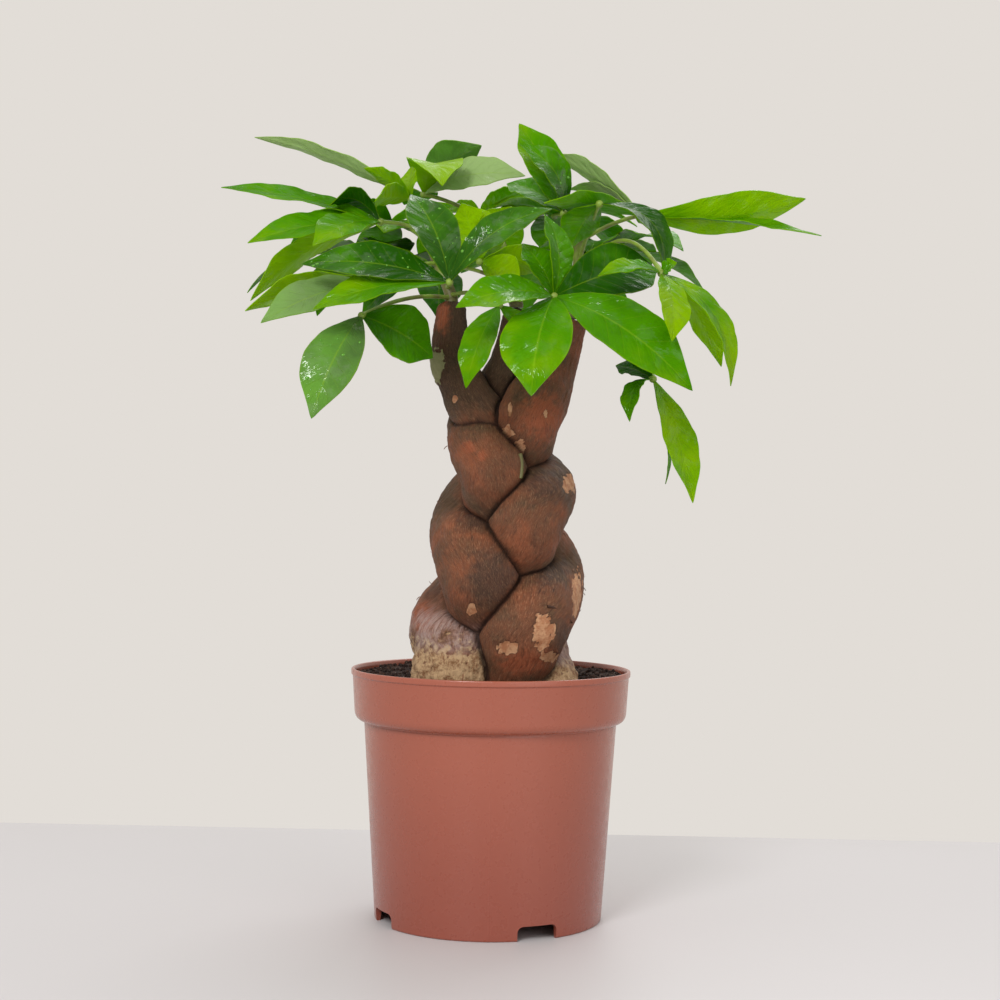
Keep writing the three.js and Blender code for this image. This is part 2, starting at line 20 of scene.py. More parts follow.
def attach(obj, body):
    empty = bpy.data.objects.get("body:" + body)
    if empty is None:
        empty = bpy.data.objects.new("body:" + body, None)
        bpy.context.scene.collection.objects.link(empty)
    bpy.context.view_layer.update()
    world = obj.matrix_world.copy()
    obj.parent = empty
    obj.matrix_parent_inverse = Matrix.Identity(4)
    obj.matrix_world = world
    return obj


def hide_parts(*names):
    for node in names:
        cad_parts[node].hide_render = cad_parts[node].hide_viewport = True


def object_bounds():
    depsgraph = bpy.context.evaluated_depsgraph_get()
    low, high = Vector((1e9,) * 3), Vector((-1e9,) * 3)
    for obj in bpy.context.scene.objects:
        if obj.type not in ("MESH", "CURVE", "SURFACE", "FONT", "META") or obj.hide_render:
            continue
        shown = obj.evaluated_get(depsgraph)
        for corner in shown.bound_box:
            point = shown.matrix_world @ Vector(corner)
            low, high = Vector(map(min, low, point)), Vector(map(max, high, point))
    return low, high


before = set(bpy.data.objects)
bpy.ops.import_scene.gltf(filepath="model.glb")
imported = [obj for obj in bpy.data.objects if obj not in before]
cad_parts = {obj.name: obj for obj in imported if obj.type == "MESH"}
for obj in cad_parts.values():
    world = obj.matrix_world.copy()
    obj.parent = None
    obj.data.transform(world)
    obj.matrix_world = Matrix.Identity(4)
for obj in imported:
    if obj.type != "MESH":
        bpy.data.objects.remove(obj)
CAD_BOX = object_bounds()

MM = 0.001
BODY = "root"
UP = np.array([0.0, 0.0, 1.0])
Array = np.ndarray
Object = bpy.types.Object
Socket = bpy.types.NodeSocket
Material = bpy.types.Material
log = logging.getLogger("money_tree")


# ---- Mesh helpers --------------------------------------------------------------------------


def deselect_all() -> None:
    """Leave edit mode and select nothing, because operators act on all that is selected."""
    if bpy.context.object and bpy.context.object.mode != "OBJECT":
        bpy.ops.object.mode_set(mode="OBJECT")
    bpy.ops.object.select_all(action="DESELECT")


def pick(pieces: Sequence[Object]) -> None:
    """Select some pieces and nothing else, and make the first of them the active one.

    Args:
        pieces: The objects to work on.
    """
    deselect_all()
    for piece in pieces:
        piece.select_set(True)
    bpy.context.view_layer.objects.active = pieces[0]


def points_of(piece: Object) -> Array:
    """Read the places of a piece's vertices.

    Args:
        piece: The mesh object, standing unturned at the origin.

    Returns:
        One row of millimetres for each vertex.
    """
    flat = np.empty(len(piece.data.vertices) * 3, dtype=np.float32)
    piece.data.vertices.foreach_get("co", flat)
    return flat.reshape(-1, 3).astype(float) / MM


def place_points(piece: Object, points: Array) -> None:
    """Set the vertices of a piece.

    Args:
        piece: The mesh object, standing unturned at the origin.
        points: One row of millimetres for each vertex.
    """
    piece.data.vertices.foreach_set("co", (points * MM).astype(np.float32).ravel())
    piece.data.update()


def add_measure(piece: Object, name: str, values: Array) -> None:
    """Store one number or one vector for each vertex, for the materials to read.

    Args:
        piece: The mesh object.
        name: Name of the attribute.
        values: One number, or one row of three, for each vertex.
    """
    values = np.asarray(values, dtype=np.float32)
    kind, key = ("FLOAT_VECTOR", "vector") if values.ndim == 2 else ("FLOAT", "value")
    attribute = piece.data.attributes.new(name, kind, "POINT")
    attribute.data.foreach_set(key, values.ravel())


def sheet(name: str, columns: int, rows: int) -> tuple[Object, Array, Array]:
    """Add a flat grid that is then shaped by moving its points.

    Args:
        name: Name of the new object.
        columns: Number of faces across.
        rows: Number of faces along.

    Returns:
        The object, and for each vertex its share of the way across and along, from 0 to 1.
    """
    deselect_all()
    bpy.ops.mesh.primitive_grid_add(x_subdivisions=columns, y_subdivisions=rows, size=2)
    piece = bpy.context.object
    piece.name = name
    flat = points_of(piece) * MM
    return piece, (flat[:, 0] + 1) / 2, (flat[:, 1] + 1) / 2


def in_edit_mode(piece: Object, work: Callable[[], object]) -> None:
    """Run one job on a mesh in edit mode, with all of it selected.

    Args:
        piece: The mesh object.
        work: The job.
    """
    pick([piece])
    bpy.ops.object.mode_set(mode="EDIT")
    bpy.ops.mesh.select_all(action="SELECT")
    work()
    bpy.ops.object.mode_set(mode="OBJECT")


def close_tube(piece: Object, gap: float = 1e-6) -> None:
    """Join the long edges of a rolled sheet and close both its ends.

    Args:
        piece: A sheet whose first and last columns lie on each other.
        gap: Distance in metres below which points are merged.
    """

    def weld_and_cap() -> None:
        """Merge what lies together, fill the open rings and turn the faces outwards."""
        bpy.ops.mesh.remove_doubles(threshold=gap)
        bpy.ops.mesh.select_all(action="DESELECT")
        bpy.ops.mesh.select_mode(type="EDGE")
        bpy.ops.mesh.select_non_manifold(extend=False)
        bpy.ops.mesh.edge_face_add()
        bpy.ops.mesh.select_all(action="SELECT")
        bpy.ops.mesh.normals_make_consistent(inside=False)

    in_edit_mode(piece, weld_and_cap)


def apply_modifier(piece: Object, kind: str, **settings: object) -> None:
    """Add a modifier, give it its settings and apply it.

    Args:
        piece: The object it is for.
        kind: Blender's name for the kind of modifier.
        settings: Values for the modifier's properties.
    """
    pick([piece])
    modifier = piece.modifiers.new(kind.title(), kind)
    for key, value in settings.items():
        setattr(modifier, key, value)
    bpy.ops.object.modifier_apply(modifier=modifier.name)


def smooth(piece: Object, degrees: float = 60) -> None:
    """Shade a piece smooth, except across edges sharper than the angle."""
    pick([piece])
    bpy.ops.object.shade_smooth_by_angle(angle=math.radians(degrees))


def dress(piece: Object, material: Material) -> None:
    """Give a piece one material in place of any that it has."""
    piece.data.materials.clear()
    piece.data.materials.append(material)


def join(pieces: Sequence[Object], name: str) -> Object:
    """Join several meshes into the first of them.

    Args:
        pieces: The mesh objects, or a single one that only gets its name.
        name: Name of the result.

    Returns:
        The first object, which now holds them all.
    """
    pick(pieces)
    if len(pieces) > 1:
        bpy.ops.object.join()
    pieces[0].name = name
    pieces[0].data.name = name
    return pieces[0]


def scatter(name: str, template: Object, spots: Sequence[tuple[Array, Array]]) -> Object:
    """Place copies of a small shape in one mesh and remove the shape itself.

    Args:
        name: Name of the new object.
        template: The shape, around the origin.
        spots: For each copy its place in millimetres and the 3 x 3 matrix that sizes and turns it.

    Returns:
        One object that holds all the copies.
    """
    corners = points_of(template)
    faces = [list(polygon.vertices) for polygon in template.data.polygons]
    points = np.concatenate([place + corners @ turn.T for place, turn in spots])
    polygons = [[c + k * len(corners) for c in face] for k in range(len(spots)) for face in faces]
    mesh = bpy.data.meshes.new(name)
    mesh.from_pydata((points * MM).tolist(), [], polygons)
    piece = bpy.data.objects.new(name, mesh)
    bpy.context.collection.objects.link(piece)
    bpy.data.objects.remove(template)
    return piece


def hold_inside(piece: Object, margin: float = 0.03) -> None:
    """Press in the few points of a piece that would stand out of the solids' box.

    Args:
        piece: The mesh object.
        margin: How far inside the box they come to lie, in millimetres.
    """
    low, high = (np.array(corner) / MM for corner in CAD_BOX)
    place_points(piece, np.clip(points_of(piece), low + margin, high - margin))


class Slot(Enum):
    """Material slots of the record."""

    POT = "pot_plastic"
    SOIL = "soil"
    BARK = "bark"
    GREEN_STEM = "green_stem"
    LEAF = "leaf"


def finish_piece(piece: Object, slot: Slot, node: str | None = None) -> None:
    """Hang a piece on its body, hide the CAD node that it replaces, hold a leaf inside the solids' box, and
    report it.

    Args:
        piece: The finished object.
        slot: Its material slot.
        node: The CAD node that the piece replaces, if there is one.
    """
    if node:
        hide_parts(node)
    if slot is Slot.LEAF:
        hold_inside(piece)
    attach(piece, BODY)
    log.info("%s: %d faces", piece.name, len(piece.data.polygons))


def dice(seed: int) -> Callable[[], float]:
    """Make a seeded source of random numbers, the same as the solids were drawn with.

    Args:
        seed: A whole number above 0.

    Returns:
        A function that returns the next number from 0 to 1.
    """
    factor, modulus = 16807, 2147483647
    state = seed

    def roll() -> float:
        """Return the next number."""
        nonlocal state
        state = (state * factor) % modulus
        return state / modulus

    return roll


def unit(vector: Array) -> Array:
    """Return a vector at length 1, or each row of several."""
    return vector / np.linalg.norm(vector, axis=-1, keepdims=True)


def smoothstep(low: float, high: float, value: Array) -> Array:
    """Return how far values have risen from low to high, smoothly, from 0 to 1."""
    share = np.clip((value - low) / (high - low), 0, 1)
    return share * share * (3 - 2 * share)


def roughness_of(points: Array, scale: float, seed: float = 0.0, octaves: int = 3) -> Array:
    """Return fractal noise from about -1 to 1 at each point.

    Args:
        points: One row for each place.
        scale: Number of swells in one unit of length.
        seed: Moves the noise to another part of its field.
        octaves: Number of layers, each half the size of the one before.

    Returns:
        One number for each place.
    """
    shift = Vector((seed, seed * 1.7, seed * 0.3))
    return np.array([
        noise.fractal(Vector(point) * scale + shift, 1.0, 2.0, octaves) for point in points.tolist()
    ])


# ---- Finishes ------------------------------------------------------------------------------


def srgb(red: int, green: int, blue: int) -> tuple[float, float, float, float]:
    """Turn a colour of 0 to 255 a channel, as the eye sees it, into linear light.

    Args:
        red: Red channel.
        green: Green channel.
        blue: Blue channel.

    Returns:
        The linear channels, and 1 for opaque.
    """

    def linear(level: float) -> float:
        """Return one channel in linear light."""
        return level / 12.92 if level <= 0.04045 else ((level + 0.055) / 1.055) ** 2.4

    return (linear(red / 255), linear(green / 255), linear(blue / 255), 1.0)


class Graph:
    """A short way to add nodes to a material or a node group and to join them."""

    def __init__(self, tree: bpy.types.NodeTree) -> None:
        """Start on an existing tree."""
        self.tree = tree

    def add(self, kind: str, sockets: dict | None = None, **settings: object) -> bpy.types.Node:
        """Add a node.

        Args:
            kind: The node's type name.
            sockets: Input name or number to a value, or to the output that feeds it.
            settings: Values for the node's own properties.

        Returns:
            The new node.
        """
        node = self.tree.nodes.new(kind)
        for key, value in settings.items():
            setattr(node, key, value)
        for key, value in (sockets or {}).items():
            self.feed(node, key, value)
        return node

    def math(self, operation: str, *values: object) -> Socket:
        """Return the result of a Math node on numbers or outputs."""
        sockets = {i: value for i, value in enumerate(values)}
        return self.add("ShaderNodeMath", sockets, operation=operation).outputs[0]

    def mix(self, share: object, low: object, high: object) -> Socket:
        """Return a mix of two colours, or outputs, by a share from 0 to 1."""
        node = self.add("ShaderNodeMix", {0: share, 6: low, 7: high}, data_type="RGBA")
        return node.outputs[2]

    def feed(self, node: bpy.types.Node, key: str | int, value: object) -> None:
        """Give an input of a node its value.

        Args:
            node: The node.
            key: The input's name or number.
            value: A plain value, or the output that feeds it.
        """
        if isinstance(value, Socket):
            self.tree.links.new(value, node.inputs[key])
        else:
            node.inputs[key].default_value = value

    def times(self, *values: object) -> Socket:
        """Return the product of two numbers or outputs."""
        return self.math("MULTIPLY", *values)

    def plus(self, *values: object) -> Socket:
        """Return the sum of two numbers or outputs."""
        return self.math("ADD", *values)

    def minus(self, *values: object) -> Socket:
        """Return the first of two numbers or outputs less the second."""
        return self.math("SUBTRACT", *values)

    def range(self, value: object, low: float, high: float,
              to: tuple[float, float] = (0.0, 1.0)) -> Socket:
        """Return a value mapped smoothly from low..high to another range."""
        sockets = {0: value, 1: low, 2: high, 3: to[0], 4: to[1]}
        return self.add("ShaderNodeMapRange", sockets, interpolation_type="SMOOTHSTEP").outputs[0]

    def measure(self, name: str, output: str = "Fac") -> Socket:
        """Return an attribute stored on the mesh."""
        return self.add("ShaderNodeAttribute", attribute_name=name).outputs[output]

    def grain(self, place: object, scale: object, detail: float = 3,
              roughness: float = 0.5) -> Socket:
        """Return a noise value at a place."""
        sockets = {"Vector": place, "Scale": scale, "Detail": detail, "Roughness": roughness}
        return self.add("ShaderNodeTexNoise", sockets).outputs[0]

    def bump(self, height: object, strength: float, distance: float) -> Socket:
        """Return a normal that follows a height in metres."""
        sockets = {"Strength": strength, "Distance": distance, "Height": height}
        return self.add("ShaderNodeBump", sockets).outputs[0]


def new_material(name: str) -> tuple[Material, Graph, bpy.types.Node]:
    """Make a material with nothing in it but its shader.

    Args:
        name: Name of the material.

    Returns:
        The material, its graph and its Principled BSDF.
    """
    material = bpy.data.materials.new(name)
    material.use_nodes = True
    graph = Graph(material.node_tree)
    shader = next(n for n in material.node_tree.nodes if n.type == "BSDF_PRINCIPLED")
    return material, graph, shader


def mottle_group() -> bpy.types.NodeTree:
    """Build, once, the group that darkens and lightens a colour in soft clouds and fine specks.

    Returns:
        A group with inputs Color, Place, Cloud Scale and Amount, and the output Color.
    """
    name = "Mottle"
    if name in bpy.data.node_groups:
        return bpy.data.node_groups[name]
    tree = bpy.data.node_groups.new(name, "ShaderNodeTree")
    ports = [
        ("Color", "INPUT", "NodeSocketColor"), ("Place", "INPUT", "NodeSocketVector"),
        ("Cloud Scale", "INPUT", "NodeSocketFloat"), ("Amount", "INPUT", "NodeSocketFloat"),
        ("Color", "OUTPUT", "NodeSocketColor"),
    ]
    for label, way, kind in ports:
        tree.interface.new_socket(name=label, in_out=way, socket_type=kind)
    graph = Graph(tree)
    given = graph.add("NodeGroupInput").outputs
    clouds = graph.grain(given["Place"], given["Cloud Scale"], 4.0)
    specks = graph.grain(given["Place"], graph.times(given["Cloud Scale"], 9.0), 2.0)
    both = graph.plus(graph.times(clouds, 0.7), graph.times(specks, 0.3))
    swing = graph.times(graph.minus(both, 0.5), graph.times(given["Amount"], 2.0))
    shade = graph.add("ShaderNodeHueSaturation", {"Value": graph.plus(1.0, swing), "Color": given["Color"]})
    graph.add("NodeGroupOutput", {"Color": shade.outputs[0]})
    return tree


@dataclass(frozen=True)
class PotPlastic:
    """Satin brown plastic, moulded with a faint seam, with painted shade that darkens it a little towards
    the foot.
    """

    body: tuple = srgb(154, 82, 62)
    foot: tuple = srgb(142, 72, 56)
    shading: tuple[float, float] = (0.01, 0.115)
    mottle_scale: float = 22.0
    mottle_amount: float = 0.05
    scuff_scale: float = 240.0
    roughness: float = 0.3
    seam_at: float = 0.0008
    seam_width: float = 0.0006
    coat: float = 0.25
    coat_roughness: float = 0.22

    def material(self) -> Material:
        """Build the material of the pot.

        Returns:
            The material, in which heights and places are metres.
        """
        material, graph, shader = new_material("pot_plastic")
        place = graph.add("ShaderNodeTexCoord").outputs["Object"]
        axes = graph.add("ShaderNodeSeparateXYZ", {0: place}).outputs
        mottle = graph.add("ShaderNodeGroup", node_tree=mottle_group())
        graph.feed(mottle, "Cloud Scale", self.mottle_scale)
        graph.feed(mottle, "Amount", self.mottle_amount)
        # painted shade: lower down, the body colour darkens towards the foot colour
        graph.feed(mottle, "Color", graph.mix(graph.range(axes[2], *self.shading), self.foot, self.body))
        graph.feed(mottle, "Place", place)
        graph.feed(shader, "Base Color", mottle.outputs["Color"])
        scuffs = graph.grain(place, self.scuff_scale, 4)
        spread = (self.roughness - 0.05, self.roughness + 0.1)
        graph.feed(shader, "Roughness", graph.range(scuffs, 0.3, 0.8, spread))
        off_seam = graph.math("ABSOLUTE", graph.minus(axes[0], self.seam_at))
        in_front = graph.math("LESS_THAN", axes[1], 0.0)
        seam = graph.times(graph.range(off_seam, 0.0, self.seam_width, (1.0, 0.0)), in_front)
        height = graph.plus(graph.times(scuffs, 0.3), seam)
        graph.feed(shader, "Normal", graph.bump(height, 0.3, 0.0002))
        graph.feed(shader, "Specular IOR Level", 0.5)
        graph.feed(shader, "Coat Weight", self.coat)
        graph.feed(shader, "Coat Roughness", self.coat_roughness)
        return material


@dataclass(frozen=True)
class SoilFinish:
    """Dark, crumbly and dull, with a few pale specks of perlite."""

    dark: tuple = srgb(38, 27, 25)
    light: tuple = srgb(84, 62, 52)
    perlite: tuple = srgb(190, 180, 168)
    grain_scale: float = 420.0
    speck_scale: float = 900.0

    def material(self) -> Material:
        """Build the material of the soil and its crumbs.

        Returns:
            The material.
        """
        material, graph, shader = new_material("soil")
        place = graph.add("ShaderNodeTexCoord").outputs["Object"]
        grain = graph.grain(place, self.grain_scale, 5, 0.65)
        colour = graph.mix(graph.range(grain, 0.42, 0.72), self.dark, self.light)
        specks = graph.range(graph.grain(place, self.speck_scale, 2), 0.7, 0.74)
        graph.feed(shader, "Base Color", graph.mix(specks, colour, self.perlite))
        graph.feed(shader, "Normal", graph.bump(grain, 0.8, 0.001))
        graph.feed(shader, "Roughness", 0.95)
        graph.feed(shader, "Specular IOR Level", 0.2)
        return material


@dataclass(frozen=True)
class Bark:
    """Fibrous brown bark: painted shade in the creases and under the leaf crown, tan where it has peeled,
    pale and corky at the foot.

    The stems store where each mark lies as measures from 0 to 1, and `flow`, a place in which the
    bark's fibres run straight.
    """

    deep: tuple = srgb(54, 32, 22)
    brown: tuple = srgb(120, 74, 50)
    red: tuple = srgb(148, 84, 54)
    grey: tuple = srgb(92, 70, 50)
    tan: tuple = srgb(206, 158, 120)
    peeled_dark: tuple = srgb(176, 118, 82)
    rust: tuple = srgb(156, 84, 54)
    cork: tuple = srgb(206, 172, 132)
    cork_dark: tuple = srgb(142, 102, 68)
    bloom: tuple = srgb(178, 160, 156)
    # colour of the painted shade under the leaf crown
    dusk: tuple = srgb(64, 50, 34)
    # colour of the painted shade in the creases between the stems
    crease: tuple = srgb(38, 22, 16)
    lichen: tuple = srgb(150, 148, 106)
    dim: tuple = srgb(66, 50, 42)
    thread_stretch: tuple[float, float, float] = (7.0, 7.0, 4.6)
    cloud_scale: float = 38.0
    speckle_scale: float = 230.0
    fraying: float = 0.7
    relief_height: float = 0.0013

    def frayed(self, graph: Graph, name: str, grain: Socket) -> Socket:
        """Return a measure whose soft edge is frayed by a grain."""
        return graph.plus(graph.measure(name), graph.times(graph.minus(grain, 0.5), self.fraying))

    def sound_bark(self, graph: Graph, clouds: Socket, fibres: Socket, speckle: Socket) -> Socket:
        """Colour the bark where it is whole: clouded brown, with painted shade under the leaf crown, corky
        at the foot, bloomed above that.

        Args:
            graph: The material's graph.
            clouds: Broad noise.
            fibres: Noise along the fibres.
            speckle: Fine noise.

        Returns:
            The colour.
        """
        colour = graph.mix(graph.range(clouds, 0.34, 0.54), self.grey, self.brown)
        colour = graph.mix(graph.range(clouds, 0.5, 0.68, (0.0, 0.85)), colour, self.red)
        # painted shade under the leaf crown, from the stem's given heights upwards
        colour = graph.mix(graph.times(graph.measure("dusk"), 0.8), colour, self.dusk)
        colour = graph.mix(graph.measure("rust"), colour, self.rust)
        corky = graph.mix(graph.range(speckle, 0.38, 0.56), self.cork_dark, self.cork)
        corky = graph.mix(graph.range(fibres, 0.46, 0.32, (0.0, 0.6)), corky, self.rust)
        colour = graph.mix(graph.range(self.frayed(graph, "cork", fibres), 0.2, 0.75), colour, corky)
        bloom = graph.times(graph.measure("bloom"), graph.range(clouds, 0.42, 0.58))
        bloom = graph.times(bloom, graph.range(fibres, 0.34, 0.6, (0.15, 0.75)))
        colour = graph.mix(bloom, colour, self.bloom)
        return graph.mix(graph.times(graph.measure("dim"), 0.7), colour, self.dim)

    def material(self) -> Material:
        """Build the bark's material.

        Returns:
            The material, which reads the measures stored on each stem.
        """
        material, graph, shader = new_material("bark")
        flow = graph.measure("flow", "Vector")
        place = graph.add("ShaderNodeTexCoord").outputs["Object"]
        finer = graph.add("ShaderNodeVectorMath", {0: flow, 1: self.thread_stretch}, operation="MULTIPLY")
        fibres = graph.grain(flow, 1.3, 7, 0.72)
        threads = graph.grain(finer.outputs[0], 1.0, 4, 0.7)
        clouds = graph.grain(place, self.cloud_scale, 5, 0.62)
        speckle = graph.grain(place, self.speckle_scale, 6, 0.72)
        cork = graph.measure("cork")
        colour = self.sound_bark(graph, clouds, fibres, speckle)
        firm = graph.minus(1.0, graph.times(cork, 0.7))
        cracks = graph.range(fibres, 0.48, 0.34, (0.0, 0.6))
        colour = graph.mix(graph.times(cracks, firm), colour, self.deep)
        furrows = graph.range(threads, 0.5, 0.3, (0.0, 0.6))
        colour = graph.mix(graph.times(furrows, firm), colour, self.deep)
        colour = graph.mix(graph.range(threads, 0.53, 0.69, (0.0, 0.4)), colour, self.tan)
        loose = self.frayed(graph, "peel", threads)
        peel = graph.range(loose, 0.42, 0.5)
        bare = graph.mix(graph.range(speckle, 0.4, 0.6), self.peeled_dark, self.tan)
        colour = graph.mix(graph.range(loose, 0.22, 0.42, (0.0, 0.5)), colour, self.deep)
        colour = graph.mix(peel, colour, bare)
        lichen = graph.range(self.frayed(graph, "lichen", threads), 0.4, 0.5)
        colour = graph.mix(lichen, colour, self.lichen)
        # painted shade in the creases where the stems press together
        colour = graph.mix(graph.times(graph.measure("shade"), 0.75), colour, self.crease)
        graph.feed(shader, "Base Color", colour)
        relief = graph.plus(graph.times(fibres, 0.9), graph.times(threads, 0.45))
        relief = graph.plus(relief, graph.times(cork, graph.times(speckle, 2.0)))
        relief = graph.minus(relief, graph.times(peel, 0.5))
        graph.feed(shader, "Normal", graph.bump(relief, 1.0, self.relief_height))
        graph.feed(shader, "Roughness", graph.range(fibres, 0.3, 0.7, (0.5, 0.8)))
        graph.feed(shader, "Specular IOR Level", 0.3)
        return material


@dataclass(frozen=True)
class GreenStem:
    """Young green wood of the shoots and stalks, browner where the measure `woody` is high."""

    young: tuple = srgb(122, 150, 48)
    old: tuple = srgb(96, 92, 48)
    patch_scale: float = 120.0
    pore_scale: float = 700.0

    def material(self) -> Material:
        """Build the material of shoots and stalks.

        Returns:
            The material.
        """
        material, graph, shader = new_material("green_stem")
        place = graph.add("ShaderNodeTexCoord").outputs["Object"]
        woody = graph.times(graph.measure("woody"), 0.5)
        patches = graph.plus(graph.grain(place, self.patch_scale, 4), woody)
        colour = graph.mix(graph.range(patches, 0.45, 0.85), self.young, self.old)
        graph.feed(shader, "Base Color", colour)
        graph.feed(shader, "Normal", graph.bump(graph.grain(place, self.pore_scale, 2), 0.3, 0.0003))
        graph.feed(shader, "Roughness", 0.5)
        return material


@dataclass(frozen=True)
class Markings:
    """Masks on a leaf blade, each from 0 to 1, and the share of the way along it."""

    rib: Socket
    side: Socket
    edge: Socket
    wrinkles: Socket
    along: Socket


@dataclass(frozen=True)
class LeafFinish:
    """Thin glossy leaf that lets light through, with a pale rib, side veins and a light edge.

    Each leaflet stores its `youth`, a share of pale painted sheen and wetness from 0 to 1, and a number of
    its `own`.
    """

    deep: tuple = srgb(34, 88, 4)
    fresh: tuple = srgb(80, 149, 2)
    young: tuple = srgb(147, 186, 4)
    # colour of the painted sheen
    pale: tuple = srgb(172, 198, 134)
    vein: tuple = srgb(160, 200, 40)
    through: tuple = srgb(160, 220, 4)
    sheen: tuple = srgb(150, 215, 70)
    side_veins: float = 9.0
    vein_lean: float = 0.17
    cloud_scale: float = 48.0
    net_scale: float = 600.0
    film_scale: float = 110.0
    relief_height: float = 0.0007
    translucence: float = 0.4
    roughness: float = 0.34
    coat_dry: float = 0.4
    coat_wet: float = 1.0
    coat_roughness: float = 0.1
    coat_ior: float = 1.75

    def markings(self, graph: Graph) -> Markings:
        """Work out the veins from the blade's own UV: across it and along it.

        Args:
            graph: The material's graph.

        Returns:
            The masks.
        """
        place = graph.add("ShaderNodeUVMap", uv_map="UVMap").outputs[0]
        split = graph.add("ShaderNodeSeparateXYZ", {0: place}).outputs
        across = graph.times(graph.math("ABSOLUTE", graph.minus(split[0], 0.5)), 2.0)
        lean = graph.times(graph.math("POWER", across, 0.85), self.vein_lean)
        count = graph.times(graph.minus(split[1], lean), self.side_veins)
        shift = graph.times(graph.math("GREATER_THAN", split[0], 0.5), 0.5)
        turn = graph.math("FRACT", graph.plus(graph.plus(count, shift), 20.0))
        side = graph.range(graph.math("ABSOLUTE", graph.minus(turn, 0.5)), 0.0, 0.06, (1.0, 0.0))
        own = graph.times(graph.measure("own"), 7.0)
        lie = graph.add("ShaderNodeCombineXYZ", {0: graph.times(across, 1.3), 1: count, 2: own})
        return Markings(
            rib=graph.range(across, 0.01, 0.05, (1.0, 0.0)),
            side=graph.times(side, graph.range(across, 0.55, 1.0, (1.0, 0.15))),
            edge=graph.range(across, 0.95, 0.995),
            wrinkles=graph.grain(lie.outputs[0], 1.25, 3, 0.5),
            along=split[1],
        )

    def material(self) -> Material:
        """Build the material of the leaf blades.

        Returns:
            The material.
        """
        material, graph, shader = new_material("leaf_blade")
        place = graph.add("ShaderNodeTexCoord").outputs["Object"]
        marks = self.markings(graph)
        bloom = graph.measure("bloom")
        clouds = graph.grain(place, self.cloud_scale, 4)
        age = graph.plus(graph.measure("youth"), graph.minus(clouds, 0.5))
        age = graph.plus(age, graph.times(graph.minus(marks.along, 0.5), 0.3))
        colour = graph.mix(graph.range(age, 0.0, 0.5), self.deep, self.fresh)
        colour = graph.mix(graph.range(age, 0.5, 1.05), colour, self.young)
        # pale painted sheen, standing in for the reflections on glossy and wet leaflets
        colour = graph.mix(bloom, colour, self.pale)
        colour = graph.mix(graph.times(marks.side, 0.13), colour, self.vein)
        colour = graph.mix(graph.times(marks.rib, 0.3), colour, self.vein)
        graph.feed(shader, "Base Color", graph.mix(graph.times(marks.edge, 0.4), colour, self.young))
        sockets = {"Vector": place, "Scale": self.net_scale}
        net = graph.add("ShaderNodeTexVoronoi", sockets, feature="DISTANCE_TO_EDGE").outputs[0]
        height = graph.minus(graph.times(net, 0.15), graph.times(marks.side, 0.35))
        height = graph.plus(height, graph.times(marks.wrinkles, 3.0))
        normal = graph.bump(height, 0.6, self.relief_height)
        graph.feed(shader, "Normal", normal)
        graph.feed(shader, "Coat Normal", normal)
        spread = (self.roughness - 0.05, self.roughness + 0.12)
        graph.feed(shader, "Roughness", graph.range(clouds, 0.3, 0.7, spread))
        film = graph.range(graph.grain(place, self.film_scale, 4, 0.6), 0.5, 0.62)
        wetter = graph.times(graph.measure("wet"), self.coat_wet - self.coat_dry)
        graph.feed(shader, "Coat Weight", graph.times(graph.plus(self.coat_dry, wetter), film))
        graph.feed(shader, "Coat Roughness", self.coat_roughness)
        graph.feed(shader, "Coat IOR", self.coat_ior)
        graph.feed(shader, "Specular IOR Level", 0.2)
        graph.feed(shader, "Specular Tint", self.sheen)
        lit = graph.mix(graph.range(age, 0.0, 1.0), self.fresh, self.through)
        # the light let through is paled by the same painted sheen
        behind = graph.add("ShaderNodeBsdfTranslucent", {"Color": graph.mix(bloom, lit, self.pale)})
        sockets = {0: self.translucence, 1: shader.outputs[0], 2: behind.outputs[0]}
        output = next(n for n in graph.tree.nodes if n.type == "OUTPUT_MATERIAL")
        graph.feed(output, "Surface", graph.add("ShaderNodeMixShader", sockets).outputs[0])
        return material


@dataclass(frozen=True)
class WaterFinish:
    """Drops left by spraying, which show the leaf's green under a bright glint."""

    colour: tuple = srgb(92, 148, 52)

    def material(self) -> Material:
        """Build the material of the drops.

        Returns:
            The material.
        """
        material, graph, shader = new_material("water")
        graph.feed(shader, "Base Color", self.colour)
        graph.feed(shader, "Roughness", 0.03)
        graph.feed(shader, "IOR", 1.33)
        return material


# ---- Pot and soil --------------------------------------------------------------------------


